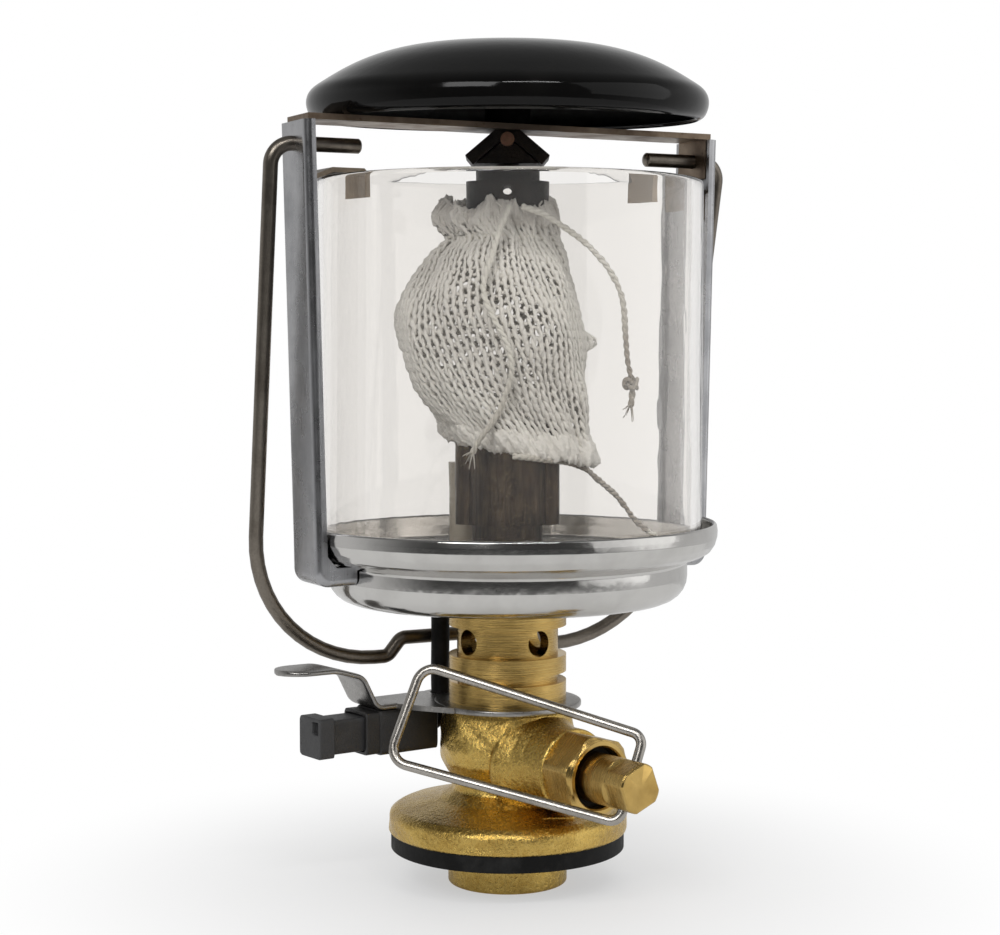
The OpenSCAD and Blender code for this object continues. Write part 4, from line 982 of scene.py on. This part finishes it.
def moulded(stations):
    """Moulding along the igniter: each station gives the reach, half width and power of a section, from 2, a round
    one, up to 14, nearly square."""
    a = turns(96)
    s = np.asarray(stations, float)
    c, d = np.cos(a), np.sin(a)
    power = s[:, 2:3]
    r = s[:, 1:2] / (np.abs(c) ** power + np.abs(d) ** power) ** (1 / power)
    return np.stack([s[:, :1] + 0 * a, r * c, r * d], -1)


def on_igniter(grid, high=IGNITER_HIGH):
    """Grid of reach, side and height, laid along the igniter's line beside the lantern's axis."""
    return placed(grid, IGNITER_OFF * BESIDE + high * Z, OUTWARD, BESIDE, Z)


def igniter():
    """Igniter housing with a stepped collar, and the push button with its square head and a small square recess."""
    case = [[9.4, 0, 12], [9.4, 3.8, 12], [9.6, 4, 14], [21.2, 4, 14], [21.5, 3.85, 12], [21.5, 3.75, 12],
            [24.0, 3.75, 14], [24.2, 3.6, 12], [24.2, 3.25, 12], [23.2, 3.19, 12], [10.8, 3.19, 12], [10.8, 0, 12]]
    grid = on_igniter(moulded(case))
    piece("igniter_case", [grid], HOUSING, nodes=["igniter_body"], sharp=30)
    push = [[29.2, 0, 2], [29.2, 2.45, 2], [20.4, 2.45, 2], [20.4, 2.9, 12], [20.6, 3, 14], [30.2, 3, 14],
            [30.4, 3.1, 12], [30.4, 3.35, 12], [30.55, 3.5, 14], [33.2, 3.5, 14]]
    face = [[33.4, r, 12] for r in np.linspace(3.35, 0, 46)]
    head = moulded(push + face)
    y, z = head[-len(face):, :, 1], head[-len(face):, :, 2]
    inside = np.clip((1.0 - np.abs(y + 1.9)) / 0.15, 0, 1) * np.clip((1.1 - np.abs(z - 1.8)) / 0.15, 0, 1)
    head[-len(face):, :, 0] -= 0.9 * inside
    piece("button_moulding", [on_igniter(head)], BUTTON, "button", ["igniter_button"], sharp=30)


def washer(inner, outer, half, sides):
    """Flat ring at the bracket's height with softened edges, half its thickness each way."""
    corners = [[inner, 0], [inner, -half], [outer, -half], [outer, half], [inner, half], [inner, 0]]
    return lathe(rounded(np.array(corners) + [0, BRACKET_HIGH], [0.1, 0.3, 0.3, 0.1], 4)[:-1], sides)


def bracket():
    """Igniter bracket: a pierced round plate with an ear for the lead, a gusset, and a finger rest bent up from its
    tab: a flat oval section along the bent line, narrowing to a round end."""
    disc, ear = washer(6.6, 13, 0.5, 128), washer(1.9, 3.3, 0.48, 48) + LEAD_AT
    gusset = prism([[7.4, 2.2], [18.4, 0], [18.4, -4.6], [13.0, -14.2], [7.0, -14.0]], OUTWARD, BESIDE, 0.47 * Z)
    gusset = gusset + IGNITER_OFF * BESIDE + BRACKET_HIGH * Z
    end = 4.6
    bent = [[7.4, BRACKET_HIGH], [22.2, BRACKET_HIGH], [25.1, 37.5], [30.5, 39.1], [39.6, 39.2]]
    line = spread(rounded(bent, [2.4, 2.6, 8], 12), 0.35)
    left = np.linalg.norm(np.diff(line, axis=0), axis=1)[::-1].cumsum()[::-1]
    left = np.concatenate([left, [0]])
    wide = end * np.sqrt(np.clip(1 - (np.clip(end - left, 0, end) / end) ** 2, 0.0, 1))
    t = unit(np.gradient(line, axis=0))
    up = np.stack([-t[:, 1], t[:, 0]], -1)
    a = turns(40)
    across, over = squared(np.cos(a), 9), 0.48 * squared(np.sin(a), 3)
    grid = np.stack([line[:, :1] + up[:, :1] * over, wide[:, None] * across, line[:, 1:] + up[:, 1:] * over], -1)
    first = np.repeat(grid[:1].mean(1, keepdims=True), len(a), 1)
    rest = on_igniter(np.concatenate([first, grid]), 0)
    grids = [(disc, True, True), (ear, True, True), gusset, rest]
    piece("bracket_plate", grids, PLATE, nodes=["igniter_bracket"], sharp=40)


igniter(), bracket()


# Stage and light

def studio_world():
    """White surroundings for the eye and through glass; mirrors see a pale room, dim overhead and on the near side."""
    world = bpy.data.worlds.new("studio")
    scene.world = world
    world.use_nodes = True
    tree = world.node_tree
    tree.nodes.clear()
    path = add(tree, "LightPath")
    way = add(tree, "TexCoord").outputs["Generated"]
    eye = {0: path.outputs["Is Camera Ray"], 1: path.outputs["Is Transmission Ray"]}
    seen = add(tree, "Math", eye, operation="MAXIMUM")
    towards = add(tree, "VectorMath", {0: way, 1: tuple(NEAR)}, operation="DOT_PRODUCT")
    side = ranged(tree, towards.outputs["Value"], -0.15, 0.8, 0.62, 0.05, "SMOOTHSTEP")
    height = add(tree, "SeparateXYZ", {0: way}).outputs["Z"]
    up = ranged(tree, height, 0.25, 0.75, 1.0, 0.35, "SMOOTHSTEP")
    room = add(tree, "Math", {0: side, 1: up}, operation="MULTIPLY")
    mirror = add(tree, "Mix", {0: path.outputs["Is Glossy Ray"], 2: 0.45, 3: room.outputs[0]}, data_type="FLOAT")
    level = add(tree, "Mix", {0: seen.outputs[0], 2: mirror.outputs[0], 3: 1.0}, data_type="FLOAT")
    sky = add(tree, "Background", {"Color": (1, 1, 1, 1), "Strength": level.outputs[0]})
    out = tree.nodes.new("ShaderNodeOutputWorld")
    tree.links.new(sky.outputs[0], out.inputs[0])


def floor():
    """Pale round floor under the spigot: white to the eye, faintly shaded near the middle, and dimmer in mirrors."""
    grid = lathe([[r, -0.05] for r in (0.0, 20, 40, 80, 130, 190, 250)], 96)
    f = Finish("floor_paint", 0.0, Roughness=0.9)
    f.set(Base_Color=f.mix(f.clouds(8), (0.72, 0.72, 0.72), (0.75, 0.75, 0.75)))
    path = add(f.tree, "LightPath")
    eye = f.times(path.outputs["Is Camera Ray"], path.outputs["Is Transmission Ray"], "MAXIMUM")
    seen = f.times(eye, f.times(path.outputs["Is Glossy Ray"], 0.4), "MAXIMUM")
    far = add(f.tree, "VectorMath", {0: f.where}, operation="LENGTH").outputs["Value"]
    away = ranged(f.tree, far, 0.02, 0.10, 0.5, 1.0, "SMOOTHSTEP")
    f.blend(f.times(seen, away), add(f.tree, "Emission", {"Color": (1, 1, 1, 1), "Strength": 1.0}))
    piece("floor", [grid], f.material)


def lamp(name, place, aim, size, power, high=None):
    """Area lamp at a place, turned to its aim."""
    light = bpy.data.lights.new(name, "AREA")
    light.energy = power
    light.shape, light.size, light.size_y = "RECTANGLE", size, high or size
    obj = bpy.data.objects.new(name, light)
    way = unit(np.subtract(aim, place))
    side = unit(np.cross(way, Z + 1e-6))
    up = np.cross(side, way)
    obj.matrix_world = Matrix([[side[i], up[i], -way[i], place[i]] for i in range(3)] + [[0, 0, 0, 1]])
    scene.collection.objects.link(obj)
    return obj


studio_world()
floor()
lamp("key", (-0.65, -0.55, 0.62), (0, 0, 0.07), 0.45, 4.2)
lamp("fill", (0.62, -0.62, 0.35), (0, 0, 0.07), 1.0, 2.2)
lamp("strip", (-0.12, -0.52, 0.62), (0, 0, 0.14), 0.34, 1.0, 0.03)
lamp("back", (0.2, 0.75, 0.5), (0, 0, 0.08), 0.5, 1.2).visible_glossy = False
